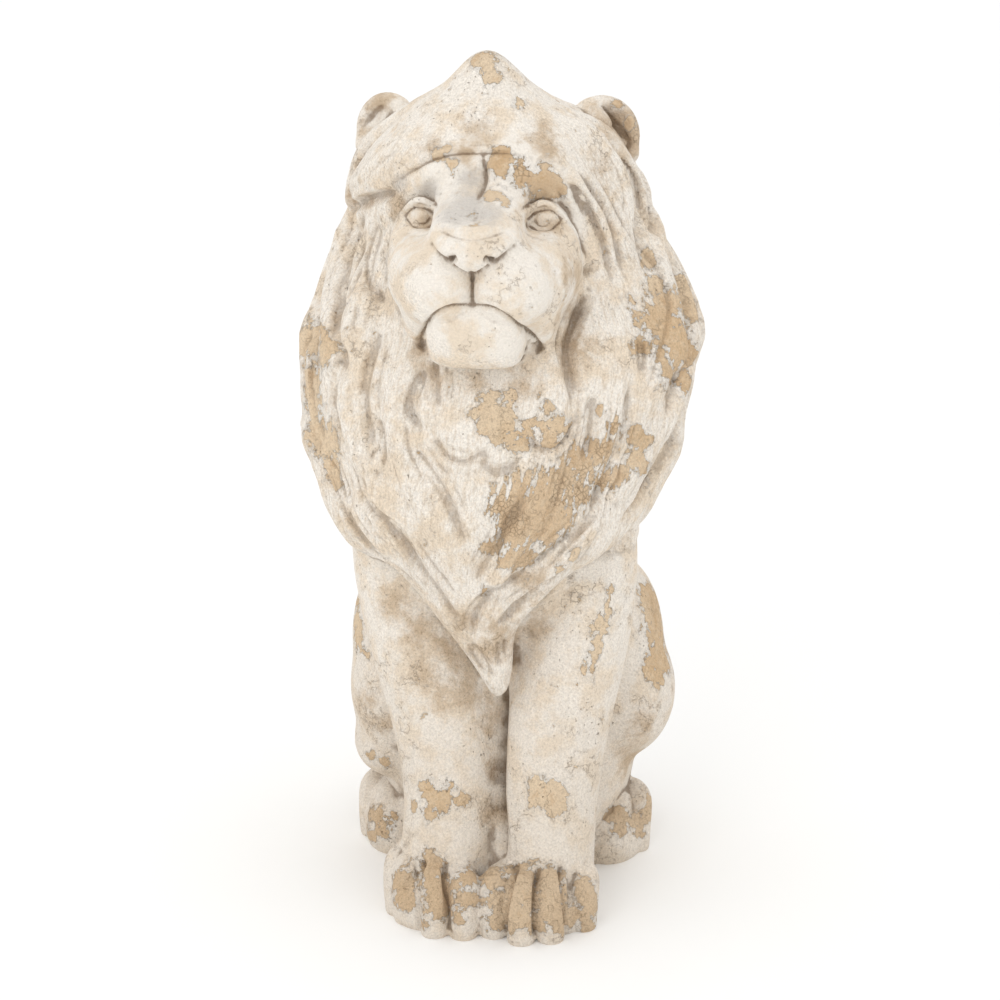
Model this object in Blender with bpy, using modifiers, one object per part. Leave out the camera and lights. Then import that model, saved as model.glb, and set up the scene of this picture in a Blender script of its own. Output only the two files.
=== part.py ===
"""Seated lion, a hollow-cast ceramic statue modelled as one solid.

Metres, +Z up. The lion faces -Y, and its own right is on -X. Soft masses are fused by a voxel remesh, carved
lines are then pressed in or raised along the surface, and the underside is cut flat.
"""

import math

import bmesh
import bpy
import numpy as np
from mathutils import Matrix, Vector
from mathutils.bvhtree import BVHTree

HEIGHT = 0.72
HEAD_LEAN = -0.010
LEAN_FROM_Z = 0.22
LEAN_TO_Z = 0.48
MM = 0.001

BODY_VOXEL = 0.004
FACE_VOXEL = 0.0035
HEAD_VOXEL = 0.002
FINAL_VOXEL = 0.0025
FINAL_TRIANGLES = 9600
WELD = 0.0002

CERAMIC = (0.78, 0.72, 0.62, 1.0)
ROUGHNESS = 0.9
UNIT_SPHERE = {"segments": 32, "ring_count": 20}
COLUMN_SPHERE = {"segments": 64, "ring_count": 60}

# Upright masses, from the top: height, middle in X, half width, front and back in Y.
TORSO_LEVELS = [
    (0.430, 0, 0.000, -0.010, 0.050),
    (0.420, 0, 0.070, -0.080, 0.090),
    (0.360, 0, 0.092, -0.118, 0.118),
    (0.310, 0, 0.100, -0.118, 0.130),
    (0.260, 0, 0.102, -0.100, 0.142),
    (0.200, 0, 0.104, -0.072, 0.154),
    (0.140, 0, 0.110, -0.058, 0.166),
    (0.080, 0, 0.110, -0.054, 0.170),
    (0.030, 0, 0.100, -0.050, 0.164),
    (-0.006, 0, 0.090, -0.040, 0.150),
    (-0.010, 0, 0.000, 0.050, 0.052),
]
MANE_LEVELS = [
    (0.7240, -0.003, 0.000, -0.046, -0.040),
    (0.7175, -0.003, 0.013, -0.058, -0.026),
    (0.7050, -0.0028, 0.0255, -0.066, -0.010),
    (0.6920, -0.0036, 0.0380, -0.076, 0.012),
    (0.6780, -0.005, 0.0595, -0.086, 0.034),
    (0.6600, 0.0000, 0.0840, -0.094, 0.053),
    (0.6350, -0.0018, 0.1052, -0.096, 0.072),
    (0.6050, 0.000, 0.117, -0.094, 0.089),
    (0.5750, 0.002, 0.121, -0.092, 0.100),
    (0.5400, 0.0045, 0.1415, -0.094, 0.111),
    (0.5000, 0.0077, 0.1563, -0.124, 0.118),
    (0.4600, 0.0040, 0.1590, -0.148, 0.120),
    (0.4150, -0.001, 0.154, -0.156, 0.118),
    (0.3650, -0.0068, 0.1408, -0.154, 0.112),
    (0.3400, -0.010, 0.131, -0.148, 0.108),
    (0.3160, -0.014, 0.112, -0.136, 0.103),
    (0.3020, -0.014, 0.086, -0.108, 0.088),
    (0.2980, -0.010, 0.000, -0.020, -0.010),
]
BIB_LEVELS = [
    (0.430, -0.004, 0.000, -0.110, -0.100),
    (0.420, -0.004, 0.070, -0.155, -0.060),
    (0.370, -0.006, 0.110, -0.160, -0.060),
    (0.330, -0.006, 0.102, -0.152, -0.070),
    (0.312, -0.006, 0.075, -0.148, -0.080),
    (0.290, -0.008, 0.052, -0.146, -0.090),
    (0.268, -0.010, 0.034, -0.143, -0.095),
    (0.250, -0.006, 0.024, -0.141, -0.100),
    (0.232, 0.000, 0.017, -0.140, -0.104),
    (0.216, 0.004, 0.011, -0.138, -0.108),
    (0.206, 0.005, 0.006, -0.134, -0.112),
    (0.202, 0.005, 0.000, -0.124, -0.120),
]
CHIN_LEVELS = [
    (0.553, 0, 0.000, -0.150, -0.145),
    (0.549, 0, 0.013, -0.169, -0.125),
    (0.541, 0, 0.028, -0.1755, -0.110),
    (0.528, 0, 0.038, -0.1785, -0.105),
    (0.514, 0, 0.039, -0.176, -0.105),
    (0.502, 0, 0.037, -0.172, -0.105),
    (0.495, 0, 0.034, -0.166, -0.110),
    (0.491, 0, 0.024, -0.156, -0.115),
    (0.490, 0, 0.000, -0.136, -0.130),
]
TORSO_SQUARE = 2.2
BIB_SQUARE = 2.0
CHIN_SQUARE = 3.6

# Toe tips on the ground by side, -1 for the lion's right, then the toes' radius and knuckle height.
FORE_TOES = {
    -1: [(-0.0805, -0.135), (-0.0710, -0.150), (-0.0455, -0.172), (-0.021, -0.173)],
    1: [(0.004, -0.168), (0.028, -0.178), (0.052, -0.172), (0.077, -0.147)],
}
HIND_TOES = {
    -1: [(-0.127, 0.018), (-0.109, -0.006), (-0.088, -0.015), (-0.067, -0.016)],
    1: [(0.060, -0.014), (0.079, -0.016), (0.098, -0.008), (0.115, 0.012)],
}
FORE_TOE = (0.0135, 0.059)
HIND_TOE = (0.0120, 0.058)
FORE_HEEL_Y = -0.085
HIND_HEEL_Y = {-1: 0.044, 1: 0.048}

EAR_PLACE = {-1: (-0.090, 0.006, 0.6485), 1: (0.0860, 0.006, 0.6465)}
EAR_SIZE = {-1: (0.029, 0.018, 0.0310), 1: (0.0330, 0.018, 0.0335)}
EAR_TURN = (-8, 12, 22)
EAR_RIM = 0.8
EAR_FLOOR = -0.6
EAR_HOLLOW = {-1: 0.40, 1: 0.95}
EYE_PLACE = (0.0490, -0.0925, 0.6005)
EYE_RADIUS = 0.0125

# Carved lines in millimetres: places along the line, half width, and depth, which is below 0 for a ridge.
FORWARD = (0, 0.95, -0.31)
SOCKET_STROKES = [
    ([(40, -100, 602), (52, -98, 603), (62, -92, 600)], 20, 3),
    ([(38, -130, 597), (44, -115, 588)], 14, 3),
]
FACE_MIDDLE = [
    ([(0, -190, 577), (0, -188, 564), (0, -184, 550)], 4.5, 5),
    ([(0, -190, 574), (0, -184, 549)], 11, 3),
    ([(-1, -104, 660), (1, -112, 645), (0, -118, 630), (0, -126, 618)], 7, 4),
    ([(-31, -168, 605), (-14, -176, 600), (0, -180, 598.5), (14, -176, 600), (31, -168, 606)], 4.5, 2.2),
]
FACE_PAIRED = [
    ([(0, -186, 550), (17, -184, 546), (34, -172, 532), (45, -152, 516), (50, -140, 505)], 5, 5),
    ([(44, -150, 512), (49, -140, 503)], 7, 5),
    ([(35, -165, 594), (29, -176, 588), (20, -184, 583), (9, -188, 577), (1, -190, 575)], 5, 4),
    ([(11, -190, 587), (14, -190, 586), (19, -188, 584)], 4.6, 6),
    ([(35, -104, 597), (40, -106, 609), (50, -106, 613), (60, -101, 608), (66, -94, 599)], 4.2, -3.5),
    ([(36, -104, 594), (42, -105, 590), (51, -105, 588), (60, -100, 591), (66, -94, 598)], 4, -2.5),
    ([(32, -106, 602), (38, -108, 614), (50, -107, 620), (62, -101, 614), (71, -92, 602)], 4.5, 2.4),
]
HOOD_RIDGES = [
    ([(-122, -30, 600), (-102, -55, 620), (-78, -78, 645), (-45, -98, 668)], 24, -8),
    ([(-62, -90, 656), (-30, -100, 666), (0, -103, 668), (50, -97, 655)], 24, -3.5),
    ([(40, -98, 660), (74, -85, 632), (92, -70, 600), (106, -62, 560)], 22, -7),
    ([(110, 4, 615), (122, 12, 595), (134, 20, 560)], 18, -4),
]
HOOD_GROOVES = [
    ([(-122, -11, 583), (-106, -45, 598), (-88, -66, 607), (-74, -80, 612)], 7, 9),
    ([(-79, -74, 612), (-63, -91, 627), (-35, -102, 643), (-3, -104, 648)], 11, 2),
    ([(-3, -104, 648), (20, -103, 648), (55, -97, 632), (67, -87, 618)], 11, 2),
    ([(67, -87, 622), (79, -73, 598), (90, -65, 567), (98, -70, 538)], 12, 7),
    ([(95, -40, 650), (112, -20, 620), (121, -15, 590), (131, -30, 550)], 9, 8),
]
FRONT_RIDGES = [
    ([(-55, -120, 490), (-66, -140, 450), (-60, -150, 410), (-30, -155, 350), (-10, -150, 290)], 18, -5),
    ([(50, -120, 480), (62, -140, 450), (55, -150, 400), (30, -155, 350), (0, -150, 290)], 18, -5),
    ([(-105, -100, 480), (-108, -130, 420), (-88, -140, 370), (-60, -148, 330), (-30, -140, 280)], 16, -5),
    ([(108, -100, 470), (112, -130, 410), (85, -140, 360), (52, -140, 310), (20, -138, 265)], 16, -5),
    ([(-98, -70, 535), (-110, -83, 508), (-106, -98, 486)], 17, -7),
    ([(-145, -40, 500), (-148, -80, 440), (-125, -110, 380), (-95, -120, 335)], 16, -5),
    ([(138, -50, 500), (148, -70, 440), (135, -100, 380), (105, -120, 335)], 16, -5),
    ([(0, -150, 390), (20, -150, 350), (10, -150, 300), (-2, -140, 250)], 14, -4),
]
FRONT_GROOVES = [
    ([(-100, -55, 572), (-114, -50, 542), (-122, -60, 515), (-124, -78, 488)], 7, 4),
    ([(-88, -66, 585), (-98, -61, 555), (-94, -70, 535), (-80, -88, 524)], 9, 6),
    ([(-112, -95, 485), (-118, -102, 468), (-125, -106, 450), (-118, -120, 420)], 7, 5),
    ([(-80, -95, 505), (-88, -110, 480), (-92, -125, 450), (-82, -142, 400)], 8, 6),
    ([(-43, -128, 482), (-50, -134, 468), (-54, -142, 452), (-42, -150, 436)], 9, 9),
    ([(-36, -123, 490), (-32, -135, 472), (-31, -145, 455)], 6, 5),
    ([(-84, -137, 445), (-80, -142, 428), (-80, -146, 403)], 7, 8),
    ([(-52, -153, 425), (-40, -156, 410), (-24, -159, 385), (-14, -158, 350)], 8, 6),
    ([(-34, -154, 434), (-26, -156, 420), (-10, -158, 416), (6, -157, 424)], 8, 7),
    ([(3, -157, 424), (9, -158, 412), (20, -157, 410), (36, -155, 416)], 8, 6),
    ([(38, -152, 434), (53, -150, 424), (68, -144, 430), (78, -140, 444)], 8, 6),
    ([(85, -88, 538), (72, -102, 516), (67, -115, 495), (78, -132, 460)], 12, 14),
    ([(89, -125, 465), (90, -134, 440), (84, -140, 410)], 8, 7),
    ([(117, -105, 470), (115, -120, 435), (105, -130, 400), (85, -138, 370)], 9, 8),
    ([(124, -85, 500), (127, -98, 474)], 7, 5),
    ([(147, -70, 470), (150, -64, 425), (138, -80, 385), (115, -110, 345)], 8, 5),
    ([(-105, -135, 400), (-92, -140, 372), (-70, -150, 352), (-50, -144, 315)], 8, 6),
    ([(-70, -150, 355), (-55, -146, 325), (-40, -144, 300), (-22, -138, 268)], 7, 6),
    ([(-130, -110, 400), (-115, -120, 365), (-88, -130, 325), (-60, -130, 300)], 7, 5),
    ([(-16, -141, 264), (-9, -145, 286), (10, -146, 306), (34, -146, 322)], 8, 8),
    ([(34, -146, 322), (61, -145, 344), (87, -136, 369), (100, -130, 390)], 7, 6),
    ([(6, -141, 272), (26, -140, 288), (50, -140, 306), (80, -135, 335)], 7, 5),
    ([(-8, -148, 313), (4, -152, 334), (20, -155, 360), (42, -150, 395)], 7, 5),
    ([(-18, -139, 256), (-7, -140, 242), (1, -138, 222)], 6, 5),
    ([(8, -138, 258), (9, -138, 235)], 5, 4),
]
LEG_GROOVES = [
    ([(4, -90, 212), (2, -100, 160), (1, -112, 110), (4, -128, 62)], 14, 6),
    ([(4, -90, 212), (2, -100, 160), (1, -112, 110), (4, -128, 62)], 6.5, 11),
]

# Lines along which one mass is smoothed into the next, in millimetres.
MUZZLE_SEAM = [(44, -140, 590), (62, -118, 572), (66, -105, 545), (56, -105, 520)]
CHEEK_SEAM = [(92, -70, 610), (94, -70, 570), (76, -85, 530), (56, -100, 500)]
FOREHEAD_SEAM = [(-72, -84, 628), (-38, -98, 662), (38, -98, 660), (70, -86, 626)]
TOE_SEAM = [
    (-80, -88, 58),
    (-62, -118, 62),
    (-40, -134, 63),
    (-12, -134, 62),
    (14, -136, 62),
    (40, -138, 63),
    (62, -128, 62),
    (82, -100, 56),
]

# Locks round the sides and back: each tier's top, foot, and where it starts in degrees from the front.
SIDE_TIERS = ((0.672, 0.545, 68), (0.590, 0.455, 60), (0.500, 0.375, 64), (0.425, 0.305, 58))
LOCK_STEP = 19.0
LOCK_POINTS = 5
LOCK_RIDGE = (0.017, -0.0065)
LOCK_GROOVE = (0.0075, 0.0055)
THROW = 0.04


def clear_scene():
    for obj in list(bpy.data.objects):
        bpy.data.objects.remove(obj)


def sided(points, side):
    """The same stations on the side given, +1 or -1."""
    return [((x * side, y, z), r) for (x, y, z), r in points]


def mirrored(line):
    """The line of places and its mirror image in X."""
    return [line, [(-x, y, z) for x, y, z in line]]


def in_metres(strokes):
    """A table of carved lines in metres."""
    return [
        ([tuple(c * MM for c in place) for place in line], width * MM, depth * MM)
        for line, width, depth in strokes
    ]


def seam(line):
    """A line of places in metres."""
    return [tuple(c * MM for c in place) for place in line]


def settle(obj):
    """Moves an object's location, turn and scale into its mesh."""
    obj.data.transform(obj.matrix_basis)
    obj.matrix_basis = Matrix.Identity(4)
    return obj


def ball(at, radii, turn=(0.0, 0.0, 0.0)):
    """An ellipsoid at a place, its turn in degrees about X, Y and Z."""
    bpy.ops.mesh.primitive_uv_sphere_add(radius=1.0, **UNIT_SPHERE)
    obj = bpy.context.object
    obj.location = at
    obj.rotation_euler = [math.radians(a) for a in turn]
    obj.scale = radii
    bpy.context.view_layer.update()
    return settle(obj)


def eased(stations, steps):
    """Points and radii on a smooth curve through the stations, by Catmull-Rom interpolation."""
    places = [Vector(p) for p, _ in stations]
    radii = [r for _, r in stations]
    last = len(stations) - 1
    out = []
    for i in range(last):
        a, b, c, d = (max(0, i - 1), i, i + 1, min(last, i + 2))
        for k in range(steps):
            t = k / steps
            w = (
                (-t + 2 * t * t - t**3) / 2,
                (2 - 5 * t * t + 3 * t**3) / 2,
                (t + 4 * t * t - 3 * t**3) / 2,
                (-t * t + t**3) / 2,
            )
            place = w[0] * places[a] + w[1] * places[b] + w[2] * places[c] + w[3] * places[d]
            radius = w[0] * radii[a] + w[1] * radii[b] + w[2] * radii[c] + w[3] * radii[d]
            out.append((place, radius))
    out.append((places[last], radii[last]))
    return out


def limb(stations, steps=5):
    """A round tapered limb through stations of a place and a radius, with round ends."""
    line = eased(stations, steps)
    curve = bpy.data.curves.new("limb", "CURVE")
    curve.dimensions = "3D"
    curve.bevel_depth = 1.0
    curve.bevel_resolution = 5
    curve.use_fill_caps = True
    spline = curve.splines.new("POLY")
    spline.points.add(len(line) - 1)
    for point, (place, radius) in zip(spline.points, line):
        point.co = (*place, 1.0)
        point.radius = radius
    tube = bpy.data.objects.new("limb", curve)
    bpy.context.collection.objects.link(tube)
    bpy.context.view_layer.update()
    mesh = bpy.data.meshes.new_from_object(tube.evaluated_get(bpy.context.evaluated_depsgraph_get()))
    bpy.data.objects.remove(tube)
    work = bmesh.new()
    work.from_mesh(mesh)
    bmesh.ops.remove_doubles(work, verts=work.verts, dist=1e-5)
    work.to_mesh(mesh)
    work.free()
    body = bpy.data.objects.new("limb", mesh)
    bpy.context.collection.objects.link(body)
    ends = [ball(place, (radius,) * 3) for place, radius in (line[0], line[-1])]
    return [body, *ends]


def column(levels, square=TORSO_SQUARE):
    """A closed upright form through the levels, an even step apart round a sphere from its top pole."""
    bpy.ops.mesh.primitive_uv_sphere_add(radius=1.0, **COLUMN_SPHERE)
    obj = bpy.context.object
    last = len(levels) - 1
    for vertex in obj.data.vertices:
        t = math.acos(max(-1.0, min(1.0, vertex.co.z))) / math.pi * last
        i = min(last - 1, int(t))
        row = [levels[max(0, min(last, i + k))] for k in (-1, 0, 1, 2)]
        z, centre, half, front, back = (between([r[j] for r in row], t - i) for j in range(5))
        angle = math.atan2(vertex.co.x, -vertex.co.y)
        across, along = math.sin(angle), math.cos(angle)
        swell = (abs(across) ** square + abs(along) ** square) ** (-1 / square)
        middle = (front + back) / 2
        depth = (back - front) / 2
        vertex.co = (centre + half * across * swell, middle - depth * along * swell, z)
    return settle(obj)


def between(four, t):
    """The value at t between the second and third of four values, on a smooth curve."""
    a, b, c, d = four
    return b + t * ((c - a) / 2 + t * (a - 2.5 * b + 2 * c - d / 2 + t * (1.5 * (b - c) + (d - a) / 2)))


def applied(obj, kind, **settings):
    """Adds a modifier with its settings and applies it."""
    bpy.context.view_layer.objects.active = obj
    modifier = obj.modifiers.new(kind.title(), kind)
    for name, value in settings.items():
        setattr(modifier, name, value)
    bpy.ops.object.modifier_apply(modifier=modifier.name)


def fused(name, pieces, voxel, softening):
    """One closed body from overlapping closed pieces: a voxel remesh, then a smoothing."""
    bpy.ops.object.select_all(action="DESELECT")
    for piece in pieces:
        piece.select_set(True)
    bpy.context.view_layer.objects.active = pieces[0]
    if len(pieces) > 1:
        bpy.ops.object.join()
    whole = bpy.context.view_layer.objects.active
    whole.name = name
    applied(whole, "REMESH", mode="VOXEL", voxel_size=voxel, adaptivity=0.0)
    applied(whole, "SMOOTH", factor=0.5, iterations=softening)
    return whole


def places_of(obj):
    """The vertex places of an object as an array."""
    flat = np.empty(len(obj.data.vertices) * 3)
    obj.data.vertices.foreach_get("co", flat)
    return flat.reshape(-1, 3)


def reach(places, line):
    """For each place, how far along the line its nearest point is, in segments, and the distance to it."""
    best = np.full(len(places), 1e9)
    along = np.zeros(len(places))
    for i in range(len(line) - 1):
        step = line[i + 1] - line[i]
        t = np.clip(((places - line[i]) @ step) / max(step @ step, 1e-12), 0, 1)
        gap = ((places - line[i] - t[:, None] * step) ** 2).sum(axis=1)
        closer = gap < best
        best[closer] = gap[closer]
        along[closer] = i + t[closer]
    return along, np.sqrt(best)


def landed(tree, place, towards):
    """Where a place meets the surface, thrown in a direction if one is given, else at the nearest point."""
    if towards:
        way = Vector(towards).normalized()
        hit, normal, _, _ = tree.ray_cast(place - way * THROW, way, 2 * THROW)
        if hit is not None:
            return hit, normal
    hit, normal, _, _ = tree.find_nearest(place)
    return hit, normal


def stroked(obj, strokes, towards=None):
    """Presses grooves into a surface, or raises ridges where the depth is negative.

    A stroke is a line of places, a half width and a depth. It fades out at both ends.
    """
    places = places_of(obj)
    tree = BVHTree.FromObject(obj, bpy.context.evaluated_depsgraph_get())
    shift = np.zeros_like(places)
    for line, width, depth in strokes:
        found = [landed(tree, place, towards) for place, _ in eased([(p, 1.0) for p in line], 6)]
        points = np.array([hit for hit, _ in found])
        normals = np.array([normal for _, normal in found])
        for _ in range(3):
            points[1:-1] = (points[:-2] + 2 * points[1:-1] + points[2:]) / 4
        for _ in range(10):
            normals[1:-1] = (normals[:-2] + 2 * normals[1:-1] + normals[2:]) / 4
        normals /= np.linalg.norm(normals, axis=1)[:, None]
        near = (places > points.min(axis=0) - width) & (places < points.max(axis=0) + width)
        near = np.nonzero(near.all(axis=1))[0]
        if len(near) == 0:
            continue
        along, gap = reach(places[near], points)
        low = np.minimum(along.astype(int), len(points) - 2)
        part = (along - low)[:, None]
        push = normals[low] * (1 - part) + normals[low + 1] * part
        to_end = np.minimum(along, len(points) - 1 - along)
        fade = np.clip(to_end / (0.22 * len(points)) + 0.2, 0, 1)
        amount = np.clip(1 - (gap / width) ** 2, 0, 1) ** 2 * depth * fade
        shift[near] -= push * amount[:, None]
    places += shift
    obj.data.vertices.foreach_set("co", places.ravel())
    obj.data.update()


def softened(obj, line, width, rounds):
    """Smooths the surface within a width of a line of places, so that one form runs into the next."""
    places = places_of(obj)
    points = np.array([p for p, _ in eased([(p, 1.0) for p in line], 4)])
    _, gap = reach(places, points)
    group = obj.vertex_groups.new(name="soft")
    for i in np.nonzero(gap < width)[0]:
        group.add([int(i)], float(min(1.0, 2 * (1 - gap[i] / width))), "REPLACE")
    applied(obj, "SMOOTH", factor=0.5, iterations=rounds, vertex_group=group.name)
    obj.vertex_groups.remove(obj.vertex_groups["soft"])


def forelegs():
    left = [
        ((0.083, -0.026, 0.345), 0.044),
        ((0.080, -0.042, 0.290), 0.047),
        ((0.067, -0.060, 0.232), 0.047),
        ((0.048, -0.078, 0.168), 0.0450),
        ((0.0405, -0.091, 0.108), 0.0405),
        ((0.0405, -0.101, 0.062), 0.0405),
        ((0.0420, -0.105, 0.044), 0.0415),
    ]
    right = [
        ((0.072, -0.026, 0.345), 0.044),
        ((0.070, -0.042, 0.290), 0.047),
        ((0.063, -0.060, 0.232), 0.047),
        ((0.050, -0.078, 0.168), 0.0465),
        ((0.0440, -0.091, 0.108), 0.0440),
        ((0.0435, -0.101, 0.062), 0.0425),
        ((0.0440, -0.105, 0.044), 0.0420),
    ]
    web = [
        ((0.001, -0.060, 0.230), 0.024),
        ((0.001, -0.074, 0.150), 0.020),
        ((0.001, -0.090, 0.070), 0.020),
        ((0.001, -0.102, 0.030), 0.024),
    ]
    shoulders = [
        ball((-0.082, -0.010, 0.295), (0.040, 0.066, 0.098), (8, 0, 0)),
        ball((0.072, -0.010, 0.300), (0.038, 0.066, 0.095), (8, 0, 0)),
    ]
    return limb(sided(left, -1)) + limb(right) + limb(web) + shoulders


def haunches():
    left = [
        ((0.090, 0.120, 0.040), 0.036),
        ((0.084, 0.080, 0.050), 0.034),
        ((0.082, 0.045, 0.060), 0.026),
        ((0.084, 0.025, 0.058), 0.026),
    ]
    right = [
        ((0.074, 0.120, 0.036), 0.032),
        ((0.070, 0.080, 0.042), 0.027),
        ((0.072, 0.045, 0.050), 0.024),
        ((0.076, 0.025, 0.050), 0.025),
    ]
    thighs = [
        ball((-0.093, 0.060, 0.188), (0.053, 0.078, 0.086), (-20, 0, 0)),
        ball((-0.097, 0.044, 0.146), (0.049, 0.072, 0.070), (-10, 0, 0)),
        ball((-0.106, 0.036, 0.096), (0.037, 0.054, 0.034)),
        ball((0.084, 0.060, 0.182), (0.050, 0.078, 0.084), (-20, 0, 0)),
        ball((0.096, 0.046, 0.146), (0.050, 0.070, 0.062), (-10, 0, 0)),
    ]
    return thighs + limb(sided(left, -1)) + limb(right)


def paw(tips, size, heel_y):
    """A broad paw: a pad, and toes that run forward to a knuckle and drop to the ground."""
    radius, knuckle = size
    middle = sum((Vector((x, y, 0)) for x, y in tips), Vector()) / len(tips)
    width = abs(tips[0][0] - tips[-1][0]) / 2 + radius * 0.6
    pieces = [
        ball((middle.x, (middle.y + heel_y) / 2 + 0.010, 0.016), (width * 0.96, 0.048, 0.038)),
        ball((middle.x, heel_y - 0.010, 0.026), (width * 0.90, 0.036, 0.034)),
    ]
    for x, y in tips:
        inward = (middle.x - x) * 0.26
        line = [
            ((x + inward * 2.2, y + 0.058, knuckle - radius * 1.9), radius * 0.85),
            ((x + inward, y + 0.040, knuckle - radius * 1.15), radius * 0.98),
            ((x, y + 0.022, knuckle - radius * 1.25), radius),
            ((x, y + radius * 1.05, knuckle * 0.42), radius),
            ((x, y + radius * 1.10, radius * 0.4), radius * 0.92),
        ]
        pieces += limb(line, steps=4)
    return pieces


def paws():
    """All four paws."""
    pieces = []
    for side in (-1, 1):
        pieces += paw(FORE_TOES[side], FORE_TOE, FORE_HEEL_Y)
        pieces += paw(HIND_TOES[side], HIND_TOE, HIND_HEEL_Y[side])
    return pieces


def tail():
    line = [
        ((0.000, 0.146, 0.070), 0.022),
        ((-0.030, 0.166, 0.040), 0.018),
        ((-0.062, 0.170, 0.022), 0.016),
        ((-0.092, 0.158, 0.020), 0.019),
        ((-0.114, 0.136, 0.014), 0.012),
    ]
    return limb(line)


def face_mass():
    """The broad forms of the face, which are smoothed into one before the features go on."""
    pieces = [
        ball((0, -0.026, 0.598), (0.092, 0.084, 0.076)),
        ball((0, -0.040, 0.565), (0.086, 0.060, 0.070)),
        ball((0, -0.118, 0.560), (0.054, 0.054, 0.038)),
        ball((0, -0.062, 0.650), (0.066, 0.040, 0.030), (30, 0, 0)),
        ball((0, -0.095, 0.520), (0.052, 0.050, 0.040)),
        ball((0, -0.162, 0.590), (0.034, 0.026, 0.018), (-6, 0, 0)),
    ]
    bridge = [
        ((0.014, -0.084, 0.618), 0.026),
        ((0.014, -0.120, 0.604), 0.023),
        ((0.017, -0.156, 0.592), 0.020),
    ]
    cheek = [
        ((0.048, -0.086, 0.574), 0.029),
        ((0.046, -0.092, 0.552), 0.033),
        ((0.037, -0.098, 0.525), 0.028),
    ]
    brow = [
        ((0.012, -0.092, 0.640), 0.020),
        ((0.034, -0.090, 0.637), 0.020),
        ((0.056, -0.078, 0.627), 0.017),
        ((0.070, -0.062, 0.610), 0.016),
    ]
    lip = [
        ((0.030, -0.150, 0.555), 0.027),
        ((0.041, -0.134, 0.537), 0.022),
        ((0.047, -0.122, 0.516), 0.014),
    ]
    for side in (-1, 1):
        for line in (bridge, cheek, brow, lip):
            pieces += limb(sided(line, side))
        pieces.append(ball((0.027 * side, -0.150, 0.557), (0.035, 0.039, 0.034)))
        pieces.append(ball((0.042 * side, -0.118, 0.557), (0.032, 0.040, 0.036)))
    return pieces


def features():
    """The chin plate, the nose pad with its tip, and the eyeballs."""
    x, y, z = EYE_PLACE
    return [
        column(CHIN_LEVELS, square=CHIN_SQUARE),
        ball((0, -0.1715, 0.5840), (0.0195, 0.0180, 0.0130)),
        ball((0, -0.1680, 0.5905), (0.0335, 0.0200, 0.0125)),
        ball((-x, y, z), (EYE_RADIUS,) * 3),
        ball((x, y, z), (EYE_RADIUS,) * 3),
    ]


def ears():
    """Cupped ears: balls with the front half pressed in."""
    pieces = []
    for side in (-1, 1):
        bpy.ops.mesh.primitive_uv_sphere_add(radius=1.0, **UNIT_SPHERE)
        ear = bpy.context.object
        for vertex in ear.data.vertices:
            rim = math.hypot(vertex.co.x, vertex.co.z)
            if vertex.co.y < 0 and rim < EAR_RIM:
                vertex.co.y = EAR_FLOOR + EAR_HOLLOW[side] * (1 - (rim / EAR_RIM) ** 2)
        nod, spread, roll = EAR_TURN
        ear.location = EAR_PLACE[side]
        ear.rotation_euler = [math.radians(a) for a in (nod, spread * side, roll * side)]
        ear.scale = EAR_SIZE[side]
        bpy.context.view_layer.update()
        pieces.append(settle(ear))
    pieces.append(ball((0.0780, -0.003, 0.6540), (0.0150, 0.0100, 0.0180)))
    return pieces


def mane_at(angle, z):
    """A place on the mane mass, by degrees round from the front and by height."""
    rising = MANE_LEVELS[::-1]
    heights = [level[0] for level in rising]
    centre, half, front, back = (np.interp(z, heights, [level[i] for level in rising]) for i in range(1, 5))
    turn = math.radians(angle)
    return (centre + half * math.sin(turn), (front + back) / 2 - (back - front) / 2 * math.cos(turn), z)


def side_locks():
    """Tiers of curling locks round the sides and back, each a raised ridge with a groove beside it."""
    strokes = []
    for tier, (top, low, start) in enumerate(SIDE_TIERS):
        count = int((360 - 2 * start) / LOCK_STEP) + 1
        for k in range(count):
            angle = start + (k + 0.5 * (tier % 2)) * (360 - 2 * start) / count
            side = 1 if angle < 180 else -1
            curl = 5.0 + 2.5 * math.sin(1.7 * k + tier)
            length = (top - low) * (1.0 + 0.10 * math.sin(2.3 * k + 1.3 * tier))
            sweep = -side * (10 if abs(angle - 180) > 60 else 4)
            ridge = []
            groove = []
            for j in range(LOCK_POINTS):
                t = j / (LOCK_POINTS - 1)
                at = angle + side * curl * math.sin(math.pi * 1.5 * t) + sweep * t
                ridge.append(mane_at(at, top - length * t))
                groove.append(mane_at(at + LOCK_STEP / 2, top - length * t))
            strokes.append((ridge, *LOCK_RIDGE))
            strokes.append((groove, *LOCK_GROOVE))
    return strokes


def lean(obj):
    """Sets the head and mane a little to the lion's right of the legs, as the casting is."""
    for vertex in obj.data.vertices:
        t = min(1.0, max(0.0, (vertex.co.z - LEAN_FROM_Z) / (LEAN_TO_Z - LEAN_FROM_Z)))
        vertex.co.x += HEAD_LEAN * t * t * (3 - 2 * t)


def face():
    """The head's front, its forms smoothed into one and its features on."""
    front = fused("face", face_mass(), FACE_VOXEL, 9)
    for line in mirrored(seam(MUZZLE_SEAM)):
        softened(front, line, 0.022, 40)
    stroked(front, paired(SOCKET_STROKES), FORWARD)
    return fused("head", [front] + features() + ears(), HEAD_VOXEL, 2)


def paired(strokes):
    """Carved lines in metres on both sides of the face."""
    return [(each, width, depth) for line, width, depth in in_metres(strokes) for each in mirrored(line)]


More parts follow.
